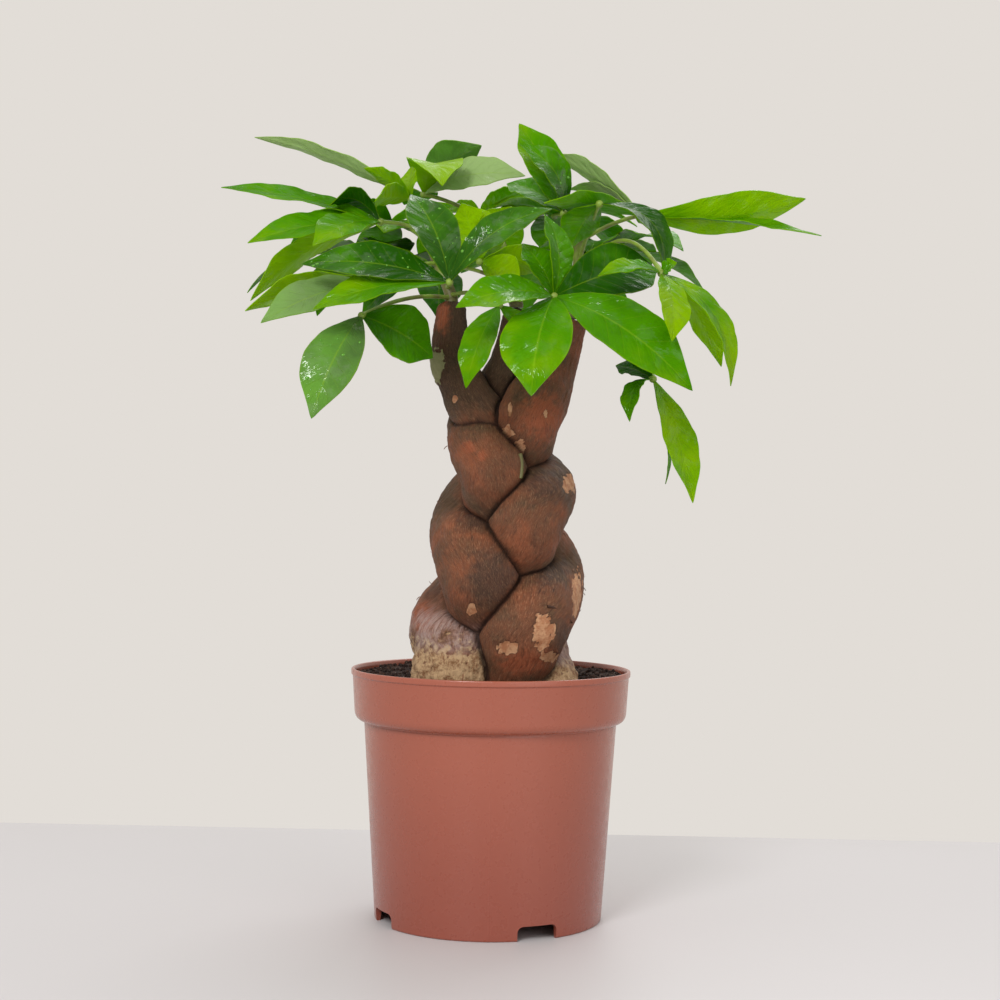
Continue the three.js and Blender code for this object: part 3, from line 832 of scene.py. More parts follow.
@dataclass
class Pot:
    """Turned plastic nursery pot with a rim, a band, four foot notches and drain holes."""

    height: float = 133
    rim_radius: float = 75
    foot_radius: float = 61
    wall: float = 1.4
    band_base: float = 105.4
    band_corner: float = 5
    band_top: float = 129.6
    shoulder_radius: float = 67.9
    band_radius: float = 72.7
    floor_under: float = 8
    floor_thickness: float = 1.6
    boss_radius: float = 9
    lip: float = 1.6
    turns: int = 160
    notch_count: int = 4
    notch_first: float = -65
    notch_width: float = 22
    notch_height: float = 7.6
    notch_corner: float = 3
    notch_depth: float = 14
    hole_count: int = 8
    hole_radius: float = 4
    hole_ring: float = 44
    hole_depth: float = 6

    @property
    def floor_top(self) -> float:
        """Height of the floor inside."""
        return self.floor_under + self.floor_thickness

    def profile(self) -> list[tuple[float, float, float]]:
        """Return (radius, height, rounding) points, from the axis underneath to the axis inside."""
        inside = self.rim_radius - self.lip
        return [
            (0, 0, 0), (self.boss_radius, 0, 0.5), (self.boss_radius + 1.5, self.floor_under, 1),
            (self.foot_radius - 3.4, self.floor_under, 1), (self.foot_radius - 2.4, 0, 0.4),
            (self.foot_radius - 0.2, 0, 0.9), (self.shoulder_radius - 0.2, self.band_base - 1.2, 0.3),
            (self.shoulder_radius - 0.4, self.band_base - 0.6, 0.2),
            (self.shoulder_radius, self.band_base, 0.2),
            (self.band_radius, self.band_base + 0.2, self.band_corner),
            (self.rim_radius - 0.8, self.band_top, 0.5), (self.rim_radius, self.band_top + 0.4, 0.5),
            (self.rim_radius, self.height, 0.8), (inside, self.height, 0.7),
            (inside - 0.6, self.height - 1.6, 0.5),
            (self.band_radius - self.wall, self.band_base + self.band_corner + 1, 2),
            (self.shoulder_radius - self.wall, self.band_base - 1, 1.5),
            (self.foot_radius + 0.6 - self.wall, self.floor_top + 2, 1.5),
            (self.foot_radius - 2.6 - self.wall, self.floor_top, 1), (0, self.floor_top, 0),
        ]

    def build(self, finish: PotPlastic) -> None:
        """Turn the pot, cut its notches and holes and dress it.

        Args:
            finish: What it is made of.
        """
        outline = rounded(self.profile())
        deselect_all()
        bpy.ops.mesh.primitive_circle_add(vertices=len(outline))
        pot = bpy.context.object
        points = np.array([(radius, 0.0, height) for radius, height in outline])
        place_points(pot, points)

        def turn() -> None:
            """Take out the outline's closing edge on the axis and spin the rest."""
            bpy.ops.mesh.select_all(action="DESELECT")
            bpy.ops.object.mode_set(mode="OBJECT")
            for edge in pot.data.edges:
                edge.select = all(abs(pot.data.vertices[k].co.x) < 1e-6 for k in edge.vertices)
            bpy.ops.object.mode_set(mode="EDIT")
            bpy.ops.mesh.select_mode(type="EDGE")
            bpy.ops.mesh.delete(type="EDGE")
            bpy.ops.mesh.select_all(action="SELECT")
            bpy.ops.mesh.spin(steps=self.turns, angle=2 * math.pi, center=(0, 0, 0), axis=(0, 0, 1))
            bpy.ops.mesh.select_all(action="SELECT")
            bpy.ops.mesh.remove_doubles(threshold=2e-6)
            bpy.ops.mesh.normals_make_consistent(inside=False)

        in_edit_mode(pot, turn)
        for cutter in [*self.notches(), *self.holes()]:
            apply_modifier(pot, "BOOLEAN", object=cutter, operation="DIFFERENCE", solver="EXACT")
            bpy.data.objects.remove(cutter)
        pot = join([pot], "nursery_pot")
        smooth(pot, 32)
        dress(pot, finish.material())
        finish_piece(pot, Slot.POT, "pot")

    def notches(self) -> Iterator[Object]:
        """Yield a rounded block for each notch in the foot."""
        for k in range(self.notch_count):
            turn = math.radians(self.notch_first + k * 360 / self.notch_count)
            reach = self.foot_radius - 2
            deselect_all()
            bpy.ops.mesh.primitive_cube_add(
                size=1, location=(reach * math.cos(turn) * MM, reach * math.sin(turn) * MM, 0),
                rotation=(0, 0, turn),
                scale=(self.notch_depth * MM, self.notch_width * MM, 2 * self.notch_height * MM))
            block = bpy.context.object
            bpy.ops.object.transform_apply(location=True, rotation=True, scale=True)
            apply_modifier(block, "BEVEL", width=self.notch_corner * MM, segments=4, limit_method="NONE")
            yield block

    def holes(self) -> Iterator[Object]:
        """Yield a drill for each drain hole in the floor."""
        for k in range(self.hole_count):
            turn = (k + 0.5) * 2 * math.pi / self.hole_count
            x, y = self.hole_ring * math.cos(turn), self.hole_ring * math.sin(turn)
            z = self.floor_under + self.floor_thickness / 2
            deselect_all()
            bpy.ops.mesh.primitive_cylinder_add(
                vertices=20, radius=self.hole_radius * MM, depth=self.hole_depth * MM,
                location=(x * MM, y * MM, z * MM))
            bpy.ops.object.transform_apply(location=True, rotation=True, scale=True)
            yield bpy.context.object


def rounded(corners: Sequence[tuple[float, float, float]], steps: int = 6) -> list[tuple[float, float]]:
    """Replace each corner of an outline by a short arc.

    Args:
        corners: (x, y, rounding) for each corner, where 0 leaves it sharp.
        steps: Number of straight pieces in an arc.

    Returns:
        The points of the rounded outline.
    """
    points: list[tuple[float, float]] = []
    for k, (x, y, size) in enumerate(corners):
        here = np.array([x, y], dtype=float)
        if size == 0 or k in (0, len(corners) - 1):
            points.append((float(x), float(y)))
            continue
        before = np.array(corners[k - 1][:2]) - here
        after = np.array(corners[k + 1][:2]) - here
        start = here + unit(before) * min(size, np.linalg.norm(before) * 0.9)
        end = here + unit(after) * min(size, np.linalg.norm(after) * 0.9)
        for t in np.linspace(0, 1, steps + 1):
            point = (1 - t) ** 2 * start + 2 * t * (1 - t) * here + t ** 2 * end
            points.append((float(point[0]), float(point[1])))
    return points


@dataclass
class Soil:
    """Body of potting soil with an uneven top, strewn with crumbs."""

    pot: Pot
    level: float = 124.5
    swell: float = 1.05
    clod: float = 0.4
    heap: float = 5.8
    heap_towards: float = 104
    heap_reach: tuple[float, float] = (34, 68)
    crumbs: int = 2600
    crumb_size: tuple[float, float] = (0.4, 1.5)
    crumb_seed: int = 1741
    rings: int = 40
    sides: int = 120

    def top(self, x: Array, y: Array) -> Array:
        """Work out the height of the soil's top, which is heaped against the wall on one side.

        Args:
            x: How far to the right each place is.
            y: How far back each place is.

        Returns:
            One height for each place.
        """
        spots = np.stack([x, y, np.zeros_like(x)], axis=-1)
        towards = 0.5 + 0.5 * np.cos(np.arctan2(y, x) - math.radians(self.heap_towards))
        heaped = self.heap * smoothstep(0.0, 0.5, towards) * smoothstep(*self.heap_reach, np.hypot(x, y))
        swells = self.swell * roughness_of(spots, 0.07, 3.0)
        clods = self.clod * roughness_of(spots, 0.4, 9.0)
        return self.level + heaped + (swells + clods)

    def build(self, finish: SoilFinish) -> None:
        """Shape the soil, strew its crumbs and dress it.

        Args:
            finish: What it looks like.
        """
        pot = self.pot
        edge = pot.band_radius - pot.wall - 0.2
        neck = pot.shoulder_radius - pot.wall - 1
        foot = pot.foot_radius - pot.wall - 3.4
        under = pot.floor_top + 0.3
        soil, around, along = sheet("soil", self.sides, self.rings)
        # from the middle of the top outwards, down the wall and back to the middle underneath
        top_share = 0.7
        stations = np.array([0, top_share, 0.74, 0.96, 1])
        radius = np.interp(along, stations, [0.5, edge, neck, foot, 0.5])
        height = np.interp(along, stations, [self.level, self.level, pot.band_base - 3, under, under])
        turn = around * 2 * math.pi
        x, y = radius * np.cos(turn), radius * np.sin(turn)
        on_top = along <= top_share
        height[on_top] = self.top(x[on_top], y[on_top])
        place_points(soil, np.stack([x, y, height], axis=-1))
        close_tube(soil, 2e-6)
        soil = join([soil, self.strew()], "potting_soil")
        smooth(soil, 40)
        dress(soil, finish.material())
        finish_piece(soil, Slot.SOIL, "soil")

    def strew(self) -> Object:
        """Lay crumbs on the soil, more of them small than large.

        Returns:
            All the crumbs as one object.
        """
        roll = dice(self.crumb_seed)
        edge = self.pot.band_radius - self.pot.wall - 0.6
        low, high = self.crumb_size
        deselect_all()
        bpy.ops.mesh.primitive_ico_sphere_add(subdivisions=1, radius=1 * MM)
        crumb = bpy.context.object
        spots = []
        for _ in range(self.crumbs):
            reach, turn = edge * math.sqrt(roll()), 2 * math.pi * roll()
            size = low + (high - low) * roll() ** 2.2
            x, y = reach * math.cos(turn), reach * math.sin(turn)
            z = float(self.top(np.array([x]), np.array([y]))[0]) + 0.25 * size
            tumble = Matrix.Rotation(6.3 * roll(), 3, "X") @ Matrix.Rotation(6.3 * roll(), 3, "Z")
            stretch = np.diag([size, size * (0.6 + 0.4 * roll()), size * (0.5 + 0.4 * roll())])
            spots.append((np.array([x, y, z]), np.array(tumble) @ stretch))
        return scatter("crumbs", crumb, spots)


# ---- Stems ---------------------------------------------------------------------------------


class Mark(Enum):
    """What a patch on the bark is: the measure that stores it, and where its edge begins and ends.

    The edge is given as shares of the patch's size.
    """

    PEEL = ("peel", 0.5, 1.3)
    LICHEN = ("lichen", 0.5, 1.3)
    RUST = ("rust", 0.35, 1.25)
    DIM = ("dim", 0.35, 1.25)


PEEL, LICHEN, RUST, DIM = Mark.PEEL, Mark.LICHEN, Mark.RUST, Mark.DIM


@dataclass(frozen=True)
class Patch:
    """One mark on a stem, placed as seen from the front.

    x and z are millimetres, and size is its half-width and half-height.
    """

    mark: Mark
    x: float
    z: float
    size: tuple[float, float]


@dataclass
class Stem:
    """Course of one stem: the plait's own rows between a splayed foot and a parting top.

    Below the height `cork` its bark is pale and corky, and between two given heights it darkens into
    painted shade under the leaves.
    """

    name: str
    rightmost: float
    plait: tuple[float, float]
    foot: list[tuple[float, float, float, float]]
    top: list[tuple[float, float, float, float]]
    cork: float = 0
    # heights over which painted shade under the leaf crown sets in
    dusk: tuple[float, float] = (400, 420)
    patches: list[Patch] = field(default_factory=list)


@dataclass
class Braid:
    """Three stems that press against one another, each passing in front on its way inwards."""

    stems: list[Stem]
    at: float = 200
    middle: float = 6.5
    drift: float = 0.06
    reach: float = 19.6
    narrowing: float = 0.075
    radius: float = 20.4
    thinning: float = 0.05
    depth: float = 15.5
    swing: float = 0.4
    lead: float = 0.16
    pitch: float = 172.5
    row_step: float = 7
    buried: float = 97
    heart_step: float = 3
    ring_step: float = 1.0
    sides: int = 128
    crease_depth: float = 1.5
    crease_width: float = 0.17
    fissure: float = 0.6
    lump: float = 0.7
    peel_depth: float = 0.45
    lichen_height: float = 1.6
    dome: float = 5
    grain: tuple[float, float] = (14, 0.11)
    fibres: int = 44
    fibre_radius: float = 0.2
    fibre_range: tuple[float, float] = (134, 262)
    fibre_seed: int = 271

    def __post_init__(self) -> None:
        """Work out the rows and heart lines of the stems."""
        self.rows = {stem.name: self.course(stem) for stem in self.stems}
        self.hearts = {name: self.heart_line(name) for name in self.rows}

    def course(self, stem: Stem) -> Array:
        """Work out a stem's course: the plait's own rows between those of its foot and its top.

        Args:
            stem: The stem.

        Returns:
            Rows of height, x, y and radius.
        """
        rows = list(stem.foot)
        z, end = stem.plait
        while z <= end:
            phase = math.radians(90 + (stem.rightmost - z) * 360 / self.pitch)
            above = z - self.at
            depth = self.depth * (math.sin(2 * phase) - self.swing * math.sin(4 * phase))
            side = math.sin(phase) + self.lead * (math.cos(phase) - math.cos(3 * phase))
            x = self.middle + self.drift * above + (self.reach - self.narrowing * above) * side
            rows.append((z, x, depth, self.radius - self.thinning * above))
            z += self.row_step
        return np.array(rows + list(stem.top), dtype=float)

    def at_height(self, name: str, z: Array) -> Array:
        """Follow a stem's smooth course through its rows.

        Args:
            name: The stem.
            z: The heights.

        Returns:
            The stem's x, y and radius at each height.
        """
        rows = self.rows[name]
        heights = rows[:, 0]
        k = np.clip(np.searchsorted(heights, z, side="left") - 1, 0, len(rows) - 2)
        before, after = np.clip(k - 1, 0, None), np.clip(k + 2, None, len(rows) - 1)
        span = (heights[k + 1] - heights[k])[:, None]
        t = ((z - heights[k]) / (heights[k + 1] - heights[k]))[:, None]
        p, q = rows[k, 1:], rows[k + 1, 1:]
        m = (q - rows[before, 1:]) / (heights[k + 1] - heights[before])[:, None] * span
        n = (rows[after, 1:] - p) / (heights[after] - heights[k])[:, None] * span
        return p + t * m + t ** 2 * (3 * (q - p) - 2 * m - n) + t ** 3 * (2 * (p - q) + m + n)

    def heart_line(self, name: str) -> tuple[Array, Array]:
        """Follow a stem's heart in steps close enough to measure distances from.

        Args:
            name: The stem.

        Returns:
            The points of its heart line, and its radius at each.
        """
        z = np.arange(self.buried, self.rows[name][-1, 0] + 1e-6, self.heart_step)
        values = self.at_height(name, z)
        return np.column_stack([values[:, :2], z]), values[:, 2]

    def outness(self, name: str, points: Array) -> Array:
        """Measure how far out points lie from a stem's heart.

        Args:
            name: The stem.
            points: The points.

        Returns:
            A number for each, 0 at the heart and 1 on the bark of a stem that nothing presses on.
        """
        hearts, radii = self.hearts[name]
        away = np.linalg.norm(points[:, None, :] - hearts[None], axis=2) / radii[None]
        return away.min(axis=1)

    def surface(self, name: str, around: Array, z: Array) -> tuple[Array, Array]:
        """Find the bark of a stem.

        Args:
            name: The stem.
            around: Angle of each point about the heart, in turns.
            z: Height of each point.

        Returns:
            The points, and how deep each lies in a crease with another stem, from 0 to 1.
        """
        middle = self.at_height(name, z)
        turn = around * 2 * math.pi
        ways = np.column_stack([np.cos(turn), np.sin(turn), np.zeros_like(z)])
        start = np.column_stack([middle[:, :2], z])
        reach = np.zeros_like(z)
        step, finest = 4.0, 0.02
        while step > finest:
            active = np.arange(len(z))
            while len(active):
                trial = start[active] + ways[active] * (reach[active] + step)[:, None]
                active = active[self.outness(name, trial) <= 1]
                reach[active] += step
            step /= 2
        points = start + ways * reach[:, None]
        near = np.minimum(*(self.outness(other, points) for other in self.rows if other != name))
        below = (self.rows[name][-1, 0] - z) / self.dome
        points = start + ways * (reach * np.sqrt(1 - (1 - np.clip(below, 0.03, 1)) ** 2))[:, None]
        return points, 1 - smoothstep(1.0, 1 + self.crease_width, near)

    def build(self, bark: Material) -> None:
        """Build, carve and dress the three stems, and fray their bark.

        Args:
            bark: The bark's material.
        """
        for stem in self.stems:
            piece = self.carve(stem)
            smooth(piece, 75)
            dress(piece, bark)
            finish_piece(piece, Slot.BARK, f"trunk_{stem.name}")
        fibres = self.fray()
        dress(fibres, bark)
        finish_piece(fibres, Slot.BARK)

    def front_at(self, x: float, z: float) -> float:
        """Find how far forward the bark comes at a place seen from the front.

        Args:
            x: How far to the right the place is.
            z: Its height.

        Returns:
            The y of the bark there.
        """
        y = np.arange(-60, 0, 0.25)
        line = np.column_stack([np.full_like(y, x), y, np.full_like(y, z)])
        inside = np.min([self.outness(name, line) for name in self.rows], axis=0) <= 1
        return float(y[np.argmax(inside)])

    def fibre(self) -> Object:
        """Model one loose fibre, a thin tapering hair about 1 mm long.

        Returns:
            The fibre, rooted at the origin, reaching towards +X and bending towards +Z.
        """
        hair, around, along = sheet("fibre", 3, 4)
        turn = around * 2 * math.pi
        radius = self.fibre_radius * (1 - 0.7 * along)
        x = radius * np.cos(turn) + along * 0.75
        place_points(hair, np.column_stack([x, radius * np.sin(turn), along ** 2 * 0.6]))
        close_tube(hair)
        return hair

    def fray(self) -> Object:
        """Strew loose fibres that stand off the bark, more of them low down and none in a crease.

        Returns:
            All the fibres as one object.
        """
        roll = dice(self.fibre_seed)
        hair = self.fibre()
        low, high = self.fibre_range
        spots = []
        for stem in self.stems:
            spread = np.array([[roll(), roll(), roll()] for _ in range(self.fibres)])
            z = low + (high - low) * spread[:, 1] ** 1.3
            points, crease = self.surface(stem.name, spread[:, 0], z)
            middle = self.at_height(stem.name, z)
            for point, depth, heart, share in zip(points, crease, middle, spread[:, 2]):
                if depth > 0:
                    continue
                out = unit(np.array([point[0] - heart[0], point[1] - heart[1], 0.3]))
                side = unit(np.cross(out, UP)) * (1 if share > 0.5 else -1)
                up = np.cross(out, side)
                size = 1.2 + 2.6 * share
                spots.append((point - out * 0.4, np.column_stack([out * size, side, up * size])))
        fibres = scatter("loose_fibres", hair, spots)
        add_measure(fibres, "flow", points_of(fibres))
        return fibres

    def marks(self, stem: Stem, points: Array, axis_y: Array, ragged: Array) -> dict[Mark, Array]:
        """Work out where a stem's patches lie on its bark.

        Args:
            stem: The stem.
            points: Places on its bark.
            axis_y: How far back the stem's heart is at each place, as marks lie only in front of it.
            ragged: Noise that makes the patches' outlines uneven.

        Returns:
            For each kind of mark a number from 0 to 1 at each place.
        """
        in_front = points[:, 1] < axis_y + 2
        marks = {mark: np.zeros(len(points)) for mark in Mark}
        for patch in stem.patches:
            wide, high = patch.size
            away = np.hypot((points[:, 0] - patch.x) / wide, (points[:, 2] - patch.z) / high)
            _, begins, ends = patch.mark.value
            strength = (1 - smoothstep(begins, ends, away + ragged * 0.5)) * in_front
            marks[patch.mark] = np.maximum(marks[patch.mark], strength)
        return marks

    def carve(self, stem: Stem) -> Object:
        """Roll a sheet into one stem and cut its creases, fissures and marks.

        Args:
            stem: The stem.

        Returns:
            The stem, with the measures that the bark's material reads.
        """
        top = self.rows[stem.name][-1, 0]
        rows = round((top - self.buried) / self.ring_step)
        piece, around, along = sheet(f"stem_{stem.name}", self.sides, rows)
        around = around % 1.0
        z = self.buried + along * (top - self.buried)
        points, crease = self.surface(stem.name, around + 0.25, z)
        middle = self.at_height(stem.name, z)
        outward = unit(points - np.column_stack([middle[:, :2], z]))
        turn = around * 2 * math.pi
        about, upwards = self.grain
        own_place = 5 * len(stem.name)
        flow = np.column_stack([np.cos(turn) * about, np.sin(turn) * about, z * upwards + own_place])
        grooves = roughness_of(flow * np.array([0.45, 0.45, 0.4]), 1.0, 0.0, 4)
        lumps = roughness_of(points, 0.09, 5.0, 3)
        ragged = roughness_of(points, 0.35, 21.0, 4)
        marks = self.marks(stem, points, middle[:, 1], ragged)
        cork, bloom = np.zeros(len(z)), np.zeros(len(z))
        if stem.cork:
            cork = 1 - smoothstep(stem.cork - 9, stem.cork + 9, z + ragged * 14)
            bloom = smoothstep(stem.cork - 6, stem.cork + 2, z)
            bloom = bloom * (1 - smoothstep(stem.cork + 12, stem.cork + 26, z))
        knobs = cork * (roughness_of(points, 0.22, 31.0, 5) - 0.4)
        fissures = -self.fissure * np.abs(grooves) * (1 - 0.5 * cork)
        carved = fissures + self.lump * np.minimum(lumps, 0.3) + knobs
        carved = carved - self.peel_depth * marks[PEEL] + self.lichen_height * marks[LICHEN]
        carved = carved * (1 - 0.6 * crease) - self.crease_depth * crease ** 2
        place_points(piece, points + outward * carved[:, None])
        measures = {mark.value[0]: strength for mark, strength in marks.items()}
        measures |= {"flow": flow, "cork": cork, "bloom": bloom}
        # painted shade under the leaf crown
        measures["dusk"] = smoothstep(*stem.dusk, z + 6 * ragged)
        # painted shade in the creases where this stem meets another
        measures["shade"] = smoothstep(0.6, 1.0, crease + 0.15 * ragged)
        for name, values in measures.items():
            add_measure(piece, name, values)
        close_tube(piece)
        return piece


# ---- Shoots and leaves ---------------------------------------------------------------------


class Tone(Enum):
    """Look of a leaflet: (youth, share of pale painted sheen), each from 0 to 1."""

    DARK = (0.05, 0.0)
    GREEN = (0.34, 0.0)
    LEAF = (0.46, 0.0)
    BRIGHT = (0.6, 0.0)
    LIME = (0.78, 0.0)
    YELLOW = (0.95, 0.0)
    # PALE, SILVER, GLOSSY and the misted tone mix in pale painted sheen by their second number
    PALE = (0.55, 0.9)
    SILVER = (0.35, 0.5)
    GLOSSY = (0.14, 0.04)
    MISTED = (0.26, 0.22)


@dataclass
class Leaflet:
    """One blade of a palmate leaf, with its tip measured from the hub."""

    tip: Array
    width: float
    roll: float
    arch: float
    tone: Tone
    phase: float = 0.0
    wet: bool = False


@dataclass
class LeafPlan:
    """One palmate leaf: the shoot that it grows from, how far up, its hub and its leaflets."""

    name: str
    shoot: str
    up: float
    hub: Array
    leaflets: list[Leaflet]


@dataclass
class Blade:
    """Shape that all leaflets share."""

    thickness: float = 0.8
    skin: float = 0.45
    fold: float = 0.2
    ripple: float = 0.7
    flutter: float = 0.5
    root_width: float = 0.07
    side_veins: int = 9
    vein_lean: float = 0.17
    quilt: float = 0.32
    point: float = 0.45
    columns: int = 16
    rows: int = 54

    def outline(self, t: Array) -> Array:
        """Return half the width at t from root to tip, as a share of the greatest."""
        body = t * np.clip(1 - t, 0, 1) ** 0.8 / 0.29 * (1 - self.point * smoothstep(0.7, 1, t))
        return np.maximum(body, np.where(t < 0.5, self.root_width, 0))

    def axes(self, tip: Array, roll: float) -> tuple[Array, Array, Array]:
        """Work out how a leaflet lies.

        Args:
            tip: Its tip, measured from the hub.
            roll: Its turn about its own length, in degrees.

        Returns:
            The directions along its chord, out of its upper face and to its side.
        """
        along = unit(tip)
        face = unit(UP - along * along[2])
        angle = math.radians(roll)
        face = face * math.cos(angle) + np.cross(along, face) * math.sin(angle)
        return along, face, np.cross(along, face)

    def surface(self, hub: Array, leaflet: Leaflet, across: Array, t: Array) -> tuple[Array, Array]:
        """Return points of the middle of the blade, and the direction out of its upper face.

        Args:
            hub: Where the leaflets meet.
            leaflet: The leaflet.
            across: Place across the blade, from -1 to 1.
            t: Place along it, from 0 at the hub to 1 at the tip.

        Returns:
            One row of millimetres for each place, and the direction.
        """
        along, face, side = self.axes(leaflet.tip, leaflet.roll)
        length = np.linalg.norm(leaflet.tip)
        broad = self.outline(t)
        half = broad * leaflet.width / 2
        out = np.abs(across)
        wave = self.ripple * broad * np.sin(leaflet.phase + 9 * t + np.sign(across))
        flutter = self.flutter * broad * np.sin(leaflet.phase * 2 + 23 * t + 2 * across) * out ** 3
        lift = (np.sqrt(out ** 2 + 0.02) - 0.14) * half * self.fold + out ** 1.6 * wave + flutter
        veins = self.side_veins * (t - self.vein_lean * out ** 0.85) + np.where(across > 0, 0.5, 0)
        lift += self.quilt * np.abs(np.sin(math.pi * (veins + 0.5))) * np.minimum(1, 4 * out) * broad
        lift += length * leaflet.arch * 4 * t * (1 - t)
        points = hub + np.outer(length * t, along) + np.outer(lift, face) + np.outer(across * half, side)
        return points, face

    def tip_corner(self, hub: Array, tip: Array, roll: float) -> Array:
        """Return the upper corner at the tip of the solid leaflet."""
        _, face, _ = self.axes(tip, roll)
        return hub + tip + face * self.thickness / 2

    def build(self, name: str, hub: Array, leaflet: Leaflet) -> Object:
        """Shape one leaflet from a sheet and give it its thickness.

        Args:
            name: Name of the new object.
            hub: Where the leaflets meet.
            leaflet: The leaflet.

        Returns:
            The blade, with the measures that its material reads.
        """
        piece, across, t = sheet(name, self.columns, self.rows)
        points, _ = self.surface(hub, leaflet, across * 2 - 1, t)
        place_points(piece, points)
        youth, bloom = leaflet.tone.value
        measures = {"youth": youth, "bloom": bloom, "wet": float(leaflet.wet), "own": leaflet.phase}
        for measure, value in measures.items():
            add_measure(piece, measure, np.full(len(t), value))
        in_edit_mode(piece, lambda: bpy.ops.mesh.remove_doubles(threshold=1e-6))
        apply_modifier(piece, "SOLIDIFY", thickness=self.skin * MM, offset=0)
        return piece


def bends(rings: int, step: float) -> Iterator[tuple[float, float]]:
    """Yield the ways a blade or stalk may give way: none, then to eight sides, ever further.

    Args:
        rings: How many times further.
        step: How much further each time.
    """
    yield 0.0, 0.0
    for ring in range(1, rings + 1):
        for k in range(8):
            turn = k * math.pi / 4
            yield math.cos(turn) * step * ring, math.sin(turn) * step * ring


@dataclass
class Rod:
    """Round rod along a course of points, with a radius that may swell at its ends."""

    sides: int = 14

    def build(self, name: str, course: Array, radii: Array, woody: Array) -> Object:
        """Roll a sheet round a course.

        Args:
            name: Name of the new object.
            course: Points along the middle of the rod.
            radii: Radius at each point.
            woody: How woody the rod is at each point, from 0 to 1.

        Returns:
            The closed rod.
        """
        rows = len(course) - 1
        piece, around, along = sheet(name, self.sides, rows)
        row = np.rint(along * rows).astype(int)
        ways = unit(np.gradient(course, axis=0))
        across = unit(np.cross(ways, np.array([1.0, 0.13, 0.0])))
        over = np.cross(ways, across)
        turn = (around * 2 * math.pi)[:, None]
        points = course[row] + radii[row][:, None] * (np.cos(turn) * across[row] + np.sin(turn) * over[row])
        place_points(piece, points)
        add_measure(piece, "woody", woody[row])
        close_tube(piece)
        return piece


@dataclass(frozen=True)
class Twig:
    """A thin leftover on the front of the braid: (x, z) places seen from the front, and radii."""

    name: str
    slot: Slot
    places: tuple[tuple[float, float], ...]
    radii: tuple[float, float]

    def build(self, braid: Braid, material: Material) -> None:
        """Lay the twig on the bark and dress it.

        Args:
            braid: What it lies on.
            material: What it is made of.
        """
        sunk = 0.3 * self.radii[0]
        start, middle, end = (np.array([x, braid.front_at(x, z) - sunk, z]) for x, z in self.places)
        t = np.linspace(0, 1, 13)[:, None]
        course = (1 - t) ** 2 * start + 2 * t * (1 - t) * middle + t ** 2 * end
        radii = np.linspace(*self.radii, len(course))
        twig = Rod(10).build(f"twig_{self.name}", course, radii, np.full(len(course), 0.95))
        # the whole twig takes the dark crease colour, which only the bark reads
        add_measure(twig, "shade", np.ones(len(twig.data.vertices)))
        smooth(twig, 60)
        dress(twig, material)
        finish_piece(twig, self.slot)


GREEN_STUB = Twig("stub", Slot.GREEN_STEM, ((13.6, 248), (15.4, 242), (14.2, 235)), (1.3, 1.0))
DRY_ROOT = Twig("root", Slot.BARK, ((29, 168.5), (34, 168.6), (42.5, 159.5)), (0.8, 0.5))


@dataclass
class Shoots:
    """The young shoots that stand on the cut tops of the stems."""

    paths: dict[str, list[tuple[float, float, float]]]
    base_radius: float = 4.2
    tip_radius: float = 2.4
    slimmer: float = 0.35
    joint: float = 0.35
    joints: int = 6
    seat: float = 0.3

    def point_at(self, name: str, share: float) -> Array:
        """Find the point at a share of a shoot's length.

        Args:
            name: The shoot.
            share: The share, from 0 at its foot to 1 at its tip.

        Returns:
            The point.
        """
        course = self.course(name, 200)
        steps = np.linalg.norm(np.diff(course, axis=0), axis=1)
        length = np.concatenate([[0], np.cumsum(steps)])
        return np.array([np.interp(share * length[-1], length, course[:, k]) for k in range(3)])

    def course(self, name: str, steps: int) -> Array:
        """Draw a smooth curve through a shoot's path, a centripetal Catmull-Rom one.

        Args:
            name: The shoot.
            steps: Number of steps along it.

        Returns:
            The curve's points.
        """
        path = np.array(self.paths[name], dtype=float)
        path[0, 2] += self.seat
        path = np.vstack([2 * path[0] - path[1], path, 2 * path[-1] - path[-2]])
        points = []
        for place in np.linspace(0, len(path) - 3, steps + 1):
            k = min(int(place), len(path) - 4)
            t = place - k
            a, b, c, d = path[k:k + 4]
            gaps = [math.sqrt(np.linalg.norm(q - p)) for p, q in ((a, b), (b, c), (c, d))]
            m = ((b - a) / gaps[0] - (c - a) / (gaps[0] + gaps[1]) + (c - b) / gaps[1]) * gaps[1]
            n = ((c - b) / gaps[1] - (d - b) / (gaps[1] + gaps[2]) + (d - c) / gaps[2]) * gaps[1]
            points.append(b + t * m + t ** 2 * (3 * (c - b) - 2 * m - n) + t ** 3 * (2 * (b - c) + m + n))
        return np.array(points)

    def build(self, material: Material) -> None:
        """Build and dress the shoots.

        Args:
            material: What they are made of.
        """
        for name in self.paths:
            course = self.course(name, 60)
            share = np.linspace(0, 1, len(course))
            joints = self.joint * np.exp(-((share * self.joints % 1 - 0.5) / 0.12) ** 2)
            taper = self.base_radius + (self.tip_radius - self.base_radius) * share
            piece = Rod(20).build(f"green_shoot_{name}", course, taper - self.slimmer + joints, 1 - share)
            smooth(piece, 60)
            dress(piece, material)
            finish_piece(piece, Slot.GREEN_STEM, f"shoot_{name}")


